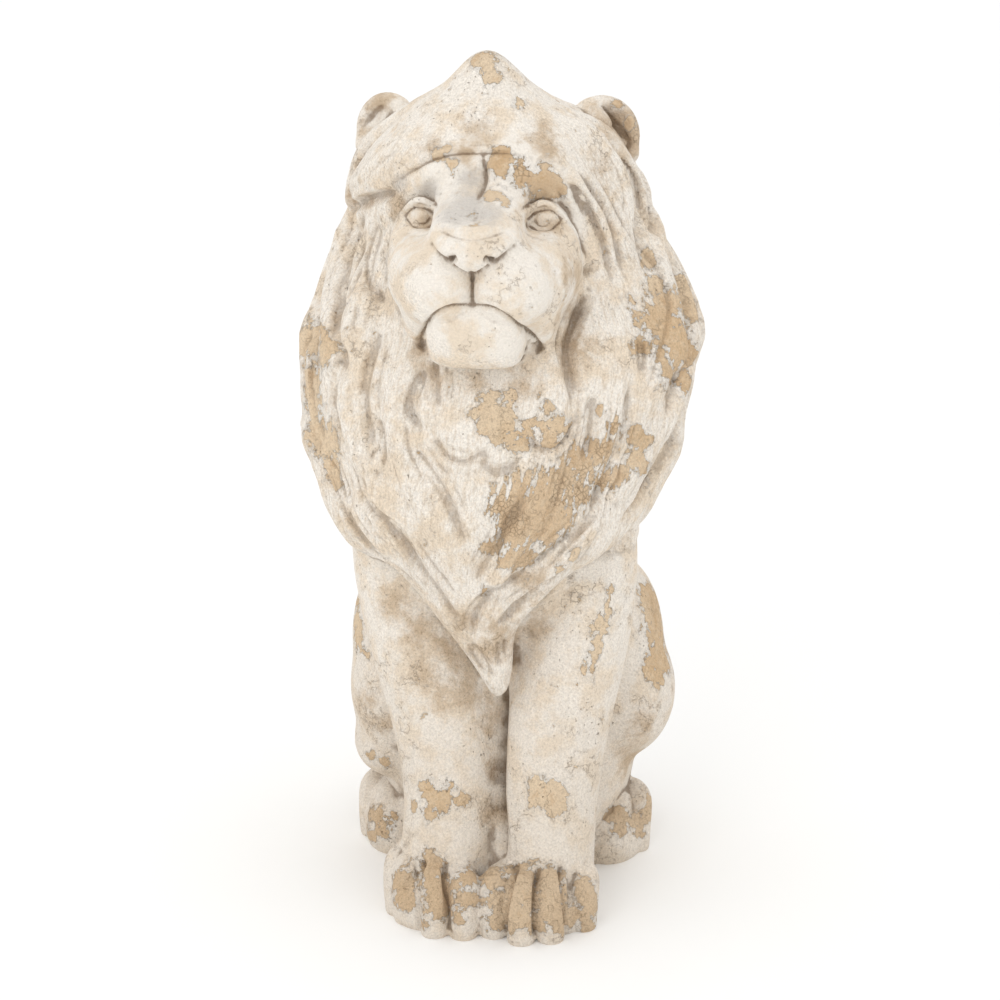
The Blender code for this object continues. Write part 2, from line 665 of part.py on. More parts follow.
def lion():
    """The whole statue before its underside is cut."""
    parts = [
        fused("body", [column(TORSO_LEVELS)] + forelegs() + haunches() + tail(), BODY_VOXEL, 40),
        fused("paws", paws(), HEAD_VOXEL, 2),
        fused("mane", [column(MANE_LEVELS), column(BIB_LEVELS, square=BIB_SQUARE)], BODY_VOXEL, 10),
        face(),
    ]
    whole = fused("lion_statue", parts, FINAL_VOXEL, 1)
    for line in mirrored(seam(CHEEK_SEAM)):
        softened(whole, line, 0.032, 80)
    softened(whole, seam(TOE_SEAM), 0.026, 26)
    stroked(whole, in_metres(HOOD_RIDGES + FRONT_RIDGES))
    softened(whole, seam(FOREHEAD_SEAM), 0.030, 50)
    stroked(whole, side_locks())
    stroked(whole, in_metres(HOOD_GROOVES + FRONT_GROOVES + LEG_GROOVES))
    stroked(whole, in_metres(FACE_MIDDLE) + paired(FACE_PAIRED), FORWARD)
    applied(whole, "SMOOTH", factor=0.5, iterations=2)
    lean(whole)
    return whole


def finished(obj):
    """Brings the triangles down, cuts the underside flat and sets the statue on the origin."""
    triangles = sum(len(face.vertices) - 2 for face in obj.data.polygons)
    applied(obj, "DECIMATE", ratio=FINAL_TRIANGLES / triangles)
    work = bmesh.new()
    work.from_mesh(obj.data)
    whole = work.verts[:] + work.edges[:] + work.faces[:]
    bmesh.ops.bisect_plane(work, geom=whole, plane_co=(0, 0, 0), plane_no=(0, 0, 1), clear_inner=True)
    rim = [edge for edge in work.edges if edge.is_boundary]
    bmesh.ops.triangle_fill(work, use_beauty=True, edges=rim, normal=(0, 0, -1))
    bmesh.ops.triangulate(work, faces=work.faces[:])
    bmesh.ops.remove_doubles(work, verts=work.verts, dist=WELD)
    bmesh.ops.recalc_face_normals(work, faces=work.faces)
    work.to_mesh(obj.data)
    work.free()
    places = places_of(obj)
    low = places.min(axis=0)
    high = places.max(axis=0)
    middle = (low + high) / 2
    places -= (middle[0], middle[1], low[2])
    places *= HEIGHT / (high[2] - low[2])
    obj.data.vertices.foreach_set("co", places.ravel())
    obj.data.update()


def glazed(obj):
    """Gives the statue its one material."""
    material = bpy.data.materials.new("ceramic")
    material.use_nodes = True
    shader = material.node_tree.nodes["Principled BSDF"]
    shader.inputs["Base Color"].default_value = CERAMIC
    shader.inputs["Roughness"].default_value = ROUGHNESS
    obj.data.materials.clear()
    obj.data.materials.append(material)


def main():
    clear_scene()
    collection = bpy.data.collections.new("Lion statue")
    bpy.context.scene.collection.children.link(collection)
    statue = lion()
    finished(statue)
    glazed(statue)
    for holder in list(statue.users_collection):
        holder.objects.unlink(statue)
    collection.objects.link(statue)
    print("triangles", len(statue.data.polygons))


main()
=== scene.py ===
"""Weathered ceramic lion statue: the finished looks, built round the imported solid.

The statue is one piece. Soft masses are modelled and fused, lines are carved along the surface, and the
whole is dressed in a chalky, flaking ceramic finish. Metres, +Z up; the lion faces -Y and its own right
is on -X.
"""

import logging
import math
from dataclasses import dataclass, field
from enum import Enum

import bmesh
import bpy
import numpy as np
from mathutils import Matrix, Vector
from mathutils.bvhtree import BVHTree


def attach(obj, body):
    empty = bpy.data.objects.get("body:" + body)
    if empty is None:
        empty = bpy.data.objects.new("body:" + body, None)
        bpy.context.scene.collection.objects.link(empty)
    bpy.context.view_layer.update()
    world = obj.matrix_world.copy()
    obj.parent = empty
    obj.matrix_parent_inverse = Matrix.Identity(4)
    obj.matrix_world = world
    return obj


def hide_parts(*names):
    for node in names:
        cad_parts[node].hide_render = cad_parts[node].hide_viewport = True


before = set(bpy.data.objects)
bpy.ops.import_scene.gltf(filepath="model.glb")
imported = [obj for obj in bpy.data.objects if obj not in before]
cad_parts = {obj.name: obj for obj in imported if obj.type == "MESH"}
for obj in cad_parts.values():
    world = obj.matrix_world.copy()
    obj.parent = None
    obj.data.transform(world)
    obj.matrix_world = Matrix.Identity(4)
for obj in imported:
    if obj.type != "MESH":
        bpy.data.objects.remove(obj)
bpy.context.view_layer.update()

log = logging.getLogger("lion")

MM = 0.001
STATUE_NODE = "lion_statue"

Place = tuple[float, float, float]
Line = list[Place]
Stations = list[tuple[Place, float]]
Row = tuple[float, float, float, float, float]
Colour = tuple[float, float, float]


class Side(Enum):
    """The lion's own sides, by the sign of X."""

    RIGHT = -1
    LEFT = 1


class Build(Enum):
    """Voxel sizes in metres for the stages of the fusing."""

    BODY = 0.004
    FACE = 0.0025
    HEAD = 0.0014
    FINAL = 0.0015


@dataclass(frozen=True)
class Stroke:
    """A carved line, in millimetres. A depth below 0 raises a ridge."""

    line: Line
    width: float
    depth: float

    def mirrored(self) -> "Stroke":
        """The same stroke on the other side of the face."""
        return Stroke([(-x, y, z) for x, y, z in self.line], self.width, self.depth)


def shade(red: int, green: int, blue: int) -> Colour:
    """A display colour, 0 to 255 a channel, as the linear colour that a shader takes."""
    return tuple(((channel / 255 + 0.055) / 1.055) ** 2.4 for channel in (red, green, blue))


def both(strokes: list[Stroke]) -> list[Stroke]:
    """Each stroke and its mirror image."""
    return [each for stroke in strokes for each in (stroke, stroke.mirrored())]


def sided(stations: Stations, side: Side) -> Stations:
    """The same stations on the side given."""
    return [((x * side.value, y, z), radius) for (x, y, z), radius in stations]


def eased(stations: Stations, steps: int) -> list[tuple[Vector, float]]:
    """Points on a smooth curve through stations, by Catmull-Rom interpolation.

    Args:
        stations: Places and radii that the curve goes through.
        steps: Points made for each span.

    Returns:
        Places and radii along the curve, the last station included.
    """
    places = [Vector(place) for place, _ in stations]
    radii = [radius for _, radius in stations]
    last = len(stations) - 1
    out = []
    for i in range(last):
        ends = (max(0, i - 1), i, i + 1, min(last, i + 2))
        for k in range(steps):
            t = k / steps
            weights = (
                (-t + 2 * t * t - t**3) / 2,
                (2 - 5 * t * t + 3 * t**3) / 2,
                (t + 4 * t * t - 3 * t**3) / 2,
                (-t * t + t**3) / 2,
            )
            place = sum((w * places[e] for w, e in zip(weights, ends)), Vector())
            out.append((place, sum(w * radii[e] for w, e in zip(weights, ends))))
    out.append((places[last], radii[last]))
    return out


def between(four: list[float], t: float) -> float:
    """The value at t between the second and third of four values, on a smooth curve."""
    a, b, c, d = four
    return b + t * ((c - a) / 2 + t * (a - 2.5 * b + 2 * c - d / 2 + t * (1.5 * (b - c) + (d - a) / 2)))


class Clay:
    """Makes the closed forms that the statue is built from."""

    SPHERE = {"segments": 32, "ring_count": 20}
    COLUMN = {"segments": 64, "ring_count": 60}

    @staticmethod
    def settle(obj: bpy.types.Object) -> bpy.types.Object:
        """Moves an object's location, turn and scale into its mesh.

        Args:
            obj: The object.

        Returns:
            The same object, at the origin.
        """
        obj.data.transform(obj.matrix_basis)
        obj.matrix_basis = Matrix.Identity(4)
        return obj

    @classmethod
    def ball(cls, at: Place, radii: Place, turn: Place = (0.0, 0.0, 0.0)) -> bpy.types.Object:
        """An ellipsoid.

        Args:
            at: Its middle.
            radii: Its radii in X, Y and Z.
            turn: Its turn in degrees about X, Y and Z.

        Returns:
            The new object.
        """
        bpy.ops.object.select_all(action="DESELECT")
        bpy.ops.mesh.primitive_uv_sphere_add(radius=1.0, **cls.SPHERE)
        obj = bpy.context.object
        obj.location = at
        obj.rotation_euler = [math.radians(angle) for angle in turn]
        obj.scale = radii
        bpy.context.view_layer.update()
        return cls.settle(obj)

    @classmethod
    def limb(cls, stations: Stations, steps: int = 5) -> list[bpy.types.Object]:
        """A round tapered limb with round ends.

        Args:
            stations: Places and radii along the limb.
            steps: Rings for each span.

        Returns:
            The limb and its two end balls.
        """
        line = eased(stations, steps)
        curve = bpy.data.curves.new("limb", "CURVE")
        curve.dimensions = "3D"
        curve.bevel_depth = 1.0
        curve.bevel_resolution = 5
        curve.use_fill_caps = True
        spline = curve.splines.new("POLY")
        spline.points.add(len(line) - 1)
        for point, (place, radius) in zip(spline.points, line):
            point.co = (*place, 1.0)
            point.radius = radius
        tube = bpy.data.objects.new("limb", curve)
        bpy.context.collection.objects.link(tube)
        bpy.context.view_layer.update()
        evaluated = tube.evaluated_get(bpy.context.evaluated_depsgraph_get())
        mesh = bpy.data.meshes.new_from_object(evaluated)
        bpy.data.objects.remove(tube)
        work = bmesh.new()
        work.from_mesh(mesh)
        bmesh.ops.remove_doubles(work, verts=work.verts, dist=1e-5)
        work.to_mesh(mesh)
        work.free()
        body = bpy.data.objects.new("limb", mesh)
        bpy.context.collection.objects.link(body)
        return [body] + [cls.ball(place, (radius,) * 3) for place, radius in (line[0], line[-1])]

    @classmethod
    def column(cls, levels: list[Row], square: float = 2.2) -> bpy.types.Object:
        """A closed upright form.

        Args:
            levels: From the top: height, middle in X, half width, front and back in Y.
            square: How square its plan is. 2 is an ellipse.

        Returns:
            The new object.
        """
        bpy.ops.object.select_all(action="DESELECT")
        bpy.ops.mesh.primitive_uv_sphere_add(radius=1.0, **cls.COLUMN)
        obj = bpy.context.object
        last = len(levels) - 1
        for vertex in obj.data.vertices:
            t = math.acos(max(-1.0, min(1.0, vertex.co.z))) / math.pi * last
            i = min(last - 1, int(t))
            rows = [levels[max(0, min(last, i + k))] for k in (-1, 0, 1, 2)]
            z, centre, half, front, back = (between([row[j] for row in rows], t - i) for j in range(5))
            angle = math.atan2(vertex.co.x, -vertex.co.y)
            across, along = math.sin(angle), math.cos(angle)
            swell = (abs(across) ** square + abs(along) ** square) ** (-1 / square)
            middle, depth = (front + back) / 2, (back - front) / 2
            vertex.co = (centre + half * across * swell, middle - depth * along * swell, z)
        return cls.settle(obj)


class Sculpt:
    """A closed body that is fused, smoothed and carved."""

    def __init__(self, name: str, parts: list[bpy.types.Object], voxel: Build, rounds: int) -> None:
        """Fuses overlapping closed parts into one body.

        Args:
            name: The body's name.
            parts: Closed objects, which are used up.
            voxel: The stage, which sets the voxel size.
            rounds: Rounds of smoothing after the fusing.
        """
        bpy.ops.object.select_all(action="DESELECT")
        for part in parts:
            part.select_set(True)
        bpy.context.view_layer.objects.active = parts[0]
        if len(parts) > 1:
            bpy.ops.object.join()
        self.obj = bpy.context.view_layer.objects.active
        self.obj.name = name
        self.obj.data.name = name
        self.apply("REMESH", mode="VOXEL", voxel_size=voxel.value, adaptivity=0.0)
        self.smooth(rounds)

    def apply(self, kind: str, **settings: object) -> None:
        """Adds a modifier with its settings and applies it.

        Args:
            kind: The modifier's type.
            **settings: Its properties.
        """
        bpy.ops.object.select_all(action="DESELECT")
        bpy.context.view_layer.objects.active = self.obj
        modifier = self.obj.modifiers.new(kind.title(), kind)
        for name, value in settings.items():
            setattr(modifier, name, value)
        bpy.ops.object.modifier_apply(modifier=modifier.name)

    def smooth(self, rounds: int) -> None:
        """Smooths the whole surface."""
        if rounds:
            self.apply("SMOOTH", factor=0.5, iterations=rounds)

    def places(self) -> np.ndarray:
        """The vertex places.

        Returns:
            One row for each vertex.
        """
        flat = np.empty(len(self.obj.data.vertices) * 3)
        self.obj.data.vertices.foreach_get("co", flat)
        return flat.reshape(-1, 3)

    def put(self, places: np.ndarray) -> None:
        """Sets the vertex places."""
        self.obj.data.vertices.foreach_set("co", places.ravel())
        self.obj.data.update()

    @staticmethod
    def reach(places: np.ndarray, line: np.ndarray) -> tuple[np.ndarray, np.ndarray]:
        """Measures places against a line.

        Args:
            places: Rows of places.
            line: Rows of points along the line.

        Returns:
            How far along the line each place's nearest point is, in spans, and the distance to it.
        """
        best = np.full(len(places), 1e9)
        along = np.zeros(len(places))
        for i in range(len(line) - 1):
            step = line[i + 1] - line[i]
            t = np.clip(((places - line[i]) @ step) / max(step @ step, 1e-12), 0, 1)
            gap = ((places - line[i] - t[:, None] * step) ** 2).sum(axis=1)
            closer = gap < best
            best[closer] = gap[closer]
            along[closer] = i + t[closer]
        return along, np.sqrt(best)

    def tree(self) -> BVHTree:
        """A search tree of the surface."""
        return BVHTree.FromObject(self.obj, bpy.context.evaluated_depsgraph_get())

    def soften(self, line: Line, width: float, rounds: int) -> None:
        """Smooths the surface near a line, so that one form runs into the next.

        Args:
            line: Places in millimetres.
            width: How far from the line it reaches, in millimetres.
            rounds: Rounds of smoothing.
        """
        stations = [(tuple(c * MM for c in place), 1.0) for place in line]
        points = np.array([place for place, _ in eased(stations, 4)])
        _, gap = self.reach(self.places(), points)
        group = self.obj.vertex_groups.new(name="soft")
        share = gap / (width * MM)
        for i in np.nonzero(share < 1)[0]:
            group.add([int(i)], float(min(1.0, 2 * (1 - share[i]))), "REPLACE")
        self.apply("SMOOTH", factor=0.5, iterations=rounds, vertex_group=group.name)
        self.obj.vertex_groups.remove(self.obj.vertex_groups["soft"])

    def carve(self, strokes: list[Stroke], towards: Place | None = None) -> None:
        """Presses grooves into the surface, or raises ridges, all from the surface as it is now.

        Args:
            strokes: The lines to carve. Each fades out at both ends.
            towards: A direction in which lines are thrown on the surface. Without it they go to the nearest
                place on it.
        """
        places = self.places()
        tree = self.tree()
        shift = np.zeros_like(places)
        for stroke in strokes:
            width, depth = stroke.width * MM, stroke.depth * MM
            stations = [(tuple(c * MM for c in place), 1.0) for place in stroke.line]
            found = [self.thrown(tree, place, towards) for place, _ in eased(stations, 6)]
            points = np.array([hit for hit, _ in found])
            normals = np.array([normal for _, normal in found])
            for _ in range(3):
                points[1:-1] = (points[:-2] + 2 * points[1:-1] + points[2:]) / 4
            for _ in range(10):
                normals[1:-1] = (normals[:-2] + 2 * normals[1:-1] + normals[2:]) / 4
            normals /= np.linalg.norm(normals, axis=1)[:, None]
            near = (places > points.min(axis=0) - width) & (places < points.max(axis=0) + width)
            near = np.nonzero(near.all(axis=1))[0]
            if len(near) == 0:
                continue
            along, gap = self.reach(places[near], points)
            low = np.minimum(along.astype(int), len(points) - 2)
            part = (along - low)[:, None]
            push = normals[low] * (1 - part) + normals[low + 1] * part
            to_end = np.minimum(along, len(points) - 1 - along)
            fade = np.clip(to_end / (0.22 * len(points)) + 0.2, 0, 1)
            amount = np.clip(1 - (gap / width) ** 2, 0, 1) ** 2 * depth * fade
            shift[near] -= push * amount[:, None]
        self.put(places + shift)

    @staticmethod
    def thrown(tree: BVHTree, place: Vector, towards: Place | None) -> tuple[Vector, Vector]:
        """Where a place lands on the surface.

        Args:
            tree: The surface.
            place: The place to throw.
            towards: The direction, or None for the nearest point.

        Returns:
            The point on the surface and the normal there.
        """
        if towards is not None:
            way = Vector(towards).normalized()
            hit, normal, _, _ = tree.ray_cast(place - way * 0.04, way, 0.08)
            if hit is not None:
                return hit, normal
        hit, normal, _, _ = tree.find_nearest(place)
        return hit, normal


@dataclass
class Body:
    """The trunk, the four legs' upper parts and the tail, which are one soft form."""

    trunk: list[Row] = field(default_factory=lambda: [
        (0.430, 0, 0.000, -0.010, 0.050),
        (0.420, 0, 0.070, -0.080, 0.090),
        (0.360, 0, 0.092, -0.118, 0.118),
        (0.310, 0, 0.100, -0.118, 0.130),
        (0.260, 0, 0.102, -0.100, 0.142),
        (0.200, 0, 0.104, -0.072, 0.154),
        (0.140, 0, 0.110, -0.058, 0.166),
        (0.080, 0, 0.110, -0.054, 0.170),
        (0.030, 0, 0.100, -0.050, 0.164),
        (-0.006, 0, 0.090, -0.040, 0.150),
        (-0.010, 0, 0.000, 0.050, 0.052),
    ])
    fore_right: Stations = field(default_factory=lambda: [
        ((0.083, -0.026, 0.345), 0.044),
        ((0.080, -0.042, 0.290), 0.047),
        ((0.067, -0.060, 0.232), 0.047),
        ((0.048, -0.078, 0.168), 0.0450),
        ((0.0405, -0.091, 0.108), 0.0405),
        ((0.0405, -0.101, 0.062), 0.0405),
        ((0.0420, -0.105, 0.044), 0.0415),
    ])
    fore_left: Stations = field(default_factory=lambda: [
        ((0.072, -0.026, 0.345), 0.044),
        ((0.070, -0.042, 0.290), 0.047),
        ((0.063, -0.060, 0.232), 0.047),
        ((0.050, -0.078, 0.168), 0.0465),
        ((0.0440, -0.091, 0.108), 0.0440),
        ((0.0435, -0.101, 0.062), 0.0425),
        ((0.0440, -0.105, 0.044), 0.0420),
    ])
    web: Stations = field(default_factory=lambda: [
        ((0.001, -0.060, 0.230), 0.024),
        ((0.001, -0.074, 0.150), 0.020),
        ((0.001, -0.090, 0.070), 0.020),
        ((0.001, -0.102, 0.030), 0.024),
    ])
    shank_right: Stations = field(default_factory=lambda: [
        ((0.090, 0.120, 0.040), 0.036),
        ((0.084, 0.080, 0.050), 0.034),
        ((0.082, 0.045, 0.060), 0.026),
        ((0.084, 0.025, 0.058), 0.026),
    ])
    shank_left: Stations = field(default_factory=lambda: [
        ((0.074, 0.120, 0.036), 0.032),
        ((0.070, 0.080, 0.042), 0.027),
        ((0.072, 0.045, 0.050), 0.024),
        ((0.076, 0.025, 0.050), 0.025),
    ])
    tail: Stations = field(default_factory=lambda: [
        ((0.000, 0.146, 0.070), 0.022),
        ((-0.030, 0.166, 0.040), 0.018),
        ((-0.062, 0.170, 0.022), 0.016),
        ((-0.092, 0.158, 0.020), 0.019),
        ((-0.114, 0.136, 0.014), 0.012),
    ])
    leg_groove: Line = field(default_factory=lambda: [
        (4, -90, 212), (2, -100, 160), (1, -112, 110), (4, -128, 62),
    ])

    def muscles(self) -> list[bpy.types.Object]:
        """Shoulders, thighs and knees.

        Returns:
            A ball for each.
        """
        return [
            Clay.ball((-0.082, -0.010, 0.295), (0.040, 0.066, 0.098), (8, 0, 0)),
            Clay.ball((0.072, -0.010, 0.300), (0.038, 0.066, 0.095), (8, 0, 0)),
            Clay.ball((-0.093, 0.060, 0.188), (0.053, 0.078, 0.086), (-20, 0, 0)),
            Clay.ball((-0.097, 0.044, 0.146), (0.049, 0.072, 0.070), (-10, 0, 0)),
            Clay.ball((-0.106, 0.036, 0.096), (0.037, 0.054, 0.034)),
            Clay.ball((0.084, 0.060, 0.182), (0.050, 0.078, 0.084), (-20, 0, 0)),
            Clay.ball((0.096, 0.046, 0.146), (0.050, 0.070, 0.062), (-10, 0, 0)),
        ]

    def build(self) -> bpy.types.Object:
        """The fused body.

        Returns:
            Its object.
        """
        parts = [Clay.column(self.trunk)] + self.muscles() + Clay.limb(self.web) + Clay.limb(self.tail)
        for stations in (self.fore_right, self.shank_right):
            parts += Clay.limb(sided(stations, Side.RIGHT))
        for stations in (self.fore_left, self.shank_left):
            parts += Clay.limb(sided(stations, Side.LEFT))
        return Sculpt("body", parts, Build.BODY, 40).obj

    def strokes(self) -> list[Stroke]:
        """The deep line between the forelegs."""
        return [Stroke(self.leg_groove, 14, 6), Stroke(self.leg_groove, 6.5, 11)]


@dataclass
class Paw:
    """A broad paw: a pad, and toes that run forward to a knuckle and drop to the ground."""

    tips: list[tuple[float, float]]
    radius: float
    knuckle: float
    heel_y: float

    def build(self) -> list[bpy.types.Object]:
        """The pad and the toes.

        Returns:
            Their closed parts.
        """
        middle = sum((Vector((x, y, 0)) for x, y in self.tips), Vector()) / len(self.tips)
        width = abs(self.tips[0][0] - self.tips[-1][0]) / 2 + self.radius * 0.6
        parts = [
            Clay.ball((middle.x, (middle.y + self.heel_y) / 2 + 0.010, 0.016), (width * 0.96, 0.048, 0.038)),
            Clay.ball((middle.x, self.heel_y - 0.010, 0.026), (width * 0.90, 0.036, 0.034)),
        ]
        for x, y in self.tips:
            inward = (middle.x - x) * 0.26
            r, k = self.radius, self.knuckle
            parts += Clay.limb([
                ((x + inward * 2.2, y + 0.058, k - r * 1.9), r * 0.85),
                ((x + inward, y + 0.040, k - r * 1.15), r * 0.98),
                ((x, y + 0.022, k - r * 1.25), r),
                ((x, y + r * 1.05, k * 0.42), r),
                ((x, y + r * 1.10, r * 0.4), r * 0.92),
            ], steps=4)
        return parts


@dataclass
class Paws:
    """The four paws. Each tuple of three is toe radius, knuckle height and heel; toes are tips in X and Y."""

    fore: tuple[float, float, float] = (0.0135, 0.059, -0.085)
    hind_right: tuple[float, float, float] = (0.0120, 0.058, 0.044)
    hind_left: tuple[float, float, float] = (0.0120, 0.058, 0.048)
    fore_right_toes: tuple = ((-0.0805, -0.135), (-0.0710, -0.150), (-0.0455, -0.172), (-0.021, -0.173))
    fore_left_toes: tuple = ((0.004, -0.168), (0.028, -0.178), (0.052, -0.172), (0.077, -0.147))
    hind_right_toes: tuple = ((-0.127, 0.018), (-0.109, -0.006), (-0.088, -0.015), (-0.067, -0.016))
    hind_left_toes: tuple = ((0.060, -0.014), (0.079, -0.016), (0.098, -0.008), (0.115, 0.012))
    closest: float = 0.015

    def build(self) -> bpy.types.Object:
        """The paws, fused where they touch.

        Returns:
            Their object.
        """
        parts = Paw(self.fore_right_toes, *self.fore).build()
        parts += Paw(self.fore_left_toes, *self.fore).build()
        parts += Paw(self.hind_right_toes, *self.hind_right).build()
        parts += Paw(self.hind_left_toes, *self.hind_left).build()
        return Sculpt("paws", parts, Build.HEAD, 2).obj

    def strokes(self) -> list[Stroke]:
        """The dark lines between the toes, where there is room for one.

        Returns:
            The strokes.
        """
        strokes = []
        for toes in (self.fore_right_toes, self.fore_left_toes):
            for (x, y), (x2, y2) in zip(toes, toes[1:]):
                if x2 - x < self.closest:
                    continue
                middle_x, middle_y = (x + x2) / 2 / MM, (y + y2) / 2 / MM
                lean = (sum(toe[0] for toe in toes) / 4 / MM - middle_x) * 0.25
                strokes.append(Stroke([
                    (middle_x + lean, middle_y + 20, 60),
                    (middle_x + lean / 2, middle_y + 4, 52),
                    (middle_x, middle_y - 2, 32),
                    (middle_x, middle_y - 2, 4),
                ], 4.8, 6))
        return strokes


@dataclass
class Mane:
    """The hood, the mane and the pointed bib on the chest.

    A tier of locks is its top and low height in metres and the angle from the front at which it starts.
    """

    hood: list[Row] = field(default_factory=lambda: [
        (0.7240, -0.003, 0.000, -0.046, -0.040),
        (0.7175, -0.003, 0.013, -0.058, -0.026),
        (0.7050, -0.0028, 0.0255, -0.066, -0.010),
        (0.6920, -0.0036, 0.0380, -0.076, 0.012),
        (0.6780, -0.005, 0.0595, -0.086, 0.034),
        (0.6600, 0.0000, 0.0840, -0.094, 0.053),
        (0.6350, -0.0018, 0.1052, -0.096, 0.072),
        (0.6050, 0.000, 0.117, -0.094, 0.089),
        (0.5750, 0.002, 0.121, -0.092, 0.100),
        (0.5400, 0.0045, 0.1415, -0.094, 0.111),
        (0.5000, 0.0077, 0.1563, -0.124, 0.118),
        (0.4600, 0.0040, 0.1590, -0.148, 0.120),
        (0.4150, -0.001, 0.154, -0.156, 0.118),
        (0.3650, -0.0068, 0.1408, -0.154, 0.112),
        (0.3400, -0.010, 0.131, -0.148, 0.108),
        (0.3160, -0.014, 0.112, -0.136, 0.103),
        (0.3020, -0.014, 0.086, -0.108, 0.088),
        (0.2980, -0.010, 0.000, -0.020, -0.010),
    ])
    bib: list[Row] = field(default_factory=lambda: [
        (0.430, -0.004, 0.000, -0.110, -0.100),
        (0.420, -0.004, 0.070, -0.155, -0.060),
        (0.370, -0.006, 0.110, -0.160, -0.060),
        (0.330, -0.006, 0.102, -0.152, -0.070),
        (0.312, -0.006, 0.075, -0.148, -0.080),
        (0.290, -0.008, 0.052, -0.146, -0.090),
        (0.268, -0.010, 0.034, -0.143, -0.095),
        (0.250, -0.006, 0.024, -0.141, -0.100),
        (0.232, 0.000, 0.017, -0.140, -0.104),
        (0.216, 0.004, 0.011, -0.138, -0.108),
        (0.206, 0.005, 0.006, -0.134, -0.112),
        (0.202, 0.005, 0.000, -0.124, -0.120),
    ])
    tiers: tuple = ((0.672, 0.545, 68), (0.590, 0.455, 60), (0.500, 0.375, 64), (0.425, 0.305, 58))
    lock_step: float = 19.0
    seed: int = 11

    def build(self) -> bpy.types.Object:
        """The fused mane mass."""
        return Sculpt("mane", [Clay.column(self.hood), Clay.column(self.bib, square=2.0)], Build.BODY, 10).obj

    def section(self, z: float | np.ndarray) -> list[float | np.ndarray]:
        """The mane's plan at a height, or at many heights.

        Args:
            z: Height in metres.

        Returns:
            Its middle in X, its half width, and its front and back in Y.
        """
        rising = self.hood[::-1]
        heights = [level[0] for level in rising]
        return [np.interp(z, heights, [level[i] for level in rising]) for i in range(1, 5)]

    def at(self, angle: float, z: float) -> Place:
        """A place on the mane, in millimetres.

        Args:
            angle: Degrees round from the front.
            z: Height in metres.

        Returns:
            The place.
        """
        centre, half, front, back = self.section(z)
        turn = math.radians(angle)
        y = (front + back) / 2 - (back - front) / 2 * math.cos(turn)
        return ((centre + half * math.sin(turn)) / MM, y / MM, z / MM)

    def lock_lines(self) -> list[tuple[Line, Line]]:
        """The locks round the sides and back.

        Returns:
            A ridge line and the groove line beside it for each lock.
        """
        lines = []
        for tier, (top, low, start) in enumerate(self.tiers):
            count = int((360 - 2 * start) / self.lock_step) + 1
            for k in range(count):
                angle = start + (k + 0.5 * (tier % 2)) * (360 - 2 * start) / count
                side = 1 if angle < 180 else -1
                curl = 5.0 + 2.5 * math.sin(1.7 * k + tier)
                length = (top - low) * (1.0 + 0.10 * math.sin(2.3 * k + 1.3 * tier))
                sweep = -side * (10 if abs(angle - 180) > 60 else 4)
                ridge, groove = [], []
                for j in range(5):
                    t = j / 4
                    at = angle + side * curl * math.sin(math.pi * 1.5 * t) + sweep * t
                    ridge.append(self.at(at, top - length * t))
                    groove.append(self.at(at + self.lock_step / 2, top - length * t))
                lines.append((ridge, groove))
        return lines

    def lock_strokes(self) -> list[Stroke]:
        """Ridges and grooves of the locks round the sides and back.

        Returns:
            The strokes.
        """
        strokes = []
        for ridge, groove in self.lock_lines():
            strokes += [Stroke(ridge, 17, -6.5), Stroke(groove, 7.5, 5.5)]
        return strokes

    def ridges(self) -> list[Stroke]:
        """Raised forms of the hood and the front locks.

        Returns:
            The strokes.
        """
        return [
            Stroke([(-122, -30, 600), (-102, -55, 620), (-78, -78, 645), (-45, -98, 668)], 24, -8),
            Stroke([(-62, -90, 656), (-30, -100, 666), (0, -103, 668), (50, -97, 655)], 26, -2.5),
            Stroke([(40, -98, 660), (74, -85, 632), (92, -70, 600), (106, -62, 560)], 22, -7),
            Stroke([(110, 4, 615), (122, 12, 595), (134, 20, 560)], 18, -4),
            Stroke([
                (-55, -120, 490), (-66, -140, 450), (-60, -150, 410), (-30, -155, 350), (-10, -150, 290),
            ], 18, -5),
            Stroke([
                (50, -120, 480), (62, -140, 450), (55, -150, 400), (30, -155, 350), (0, -150, 290),
            ], 18, -5),
            Stroke([
                (-105, -100, 480), (-108, -130, 420), (-88, -140, 370), (-60, -148, 330), (-30, -140, 280),
            ], 16, -5),
            Stroke([
                (108, -100, 470), (112, -130, 410), (85, -140, 360), (52, -140, 310), (20, -138, 265),
            ], 16, -5),
            Stroke([(-98, -70, 535), (-110, -83, 508), (-106, -98, 486)], 17, -7),
            Stroke([(-145, -40, 500), (-148, -80, 440), (-125, -110, 380), (-95, -120, 335)], 16, -5),
            Stroke([(138, -50, 500), (148, -70, 440), (135, -100, 380), (105, -120, 335)], 16, -5),
            Stroke([(0, -150, 390), (20, -150, 350), (10, -150, 300), (-2, -140, 250)], 14, -4),
        ]

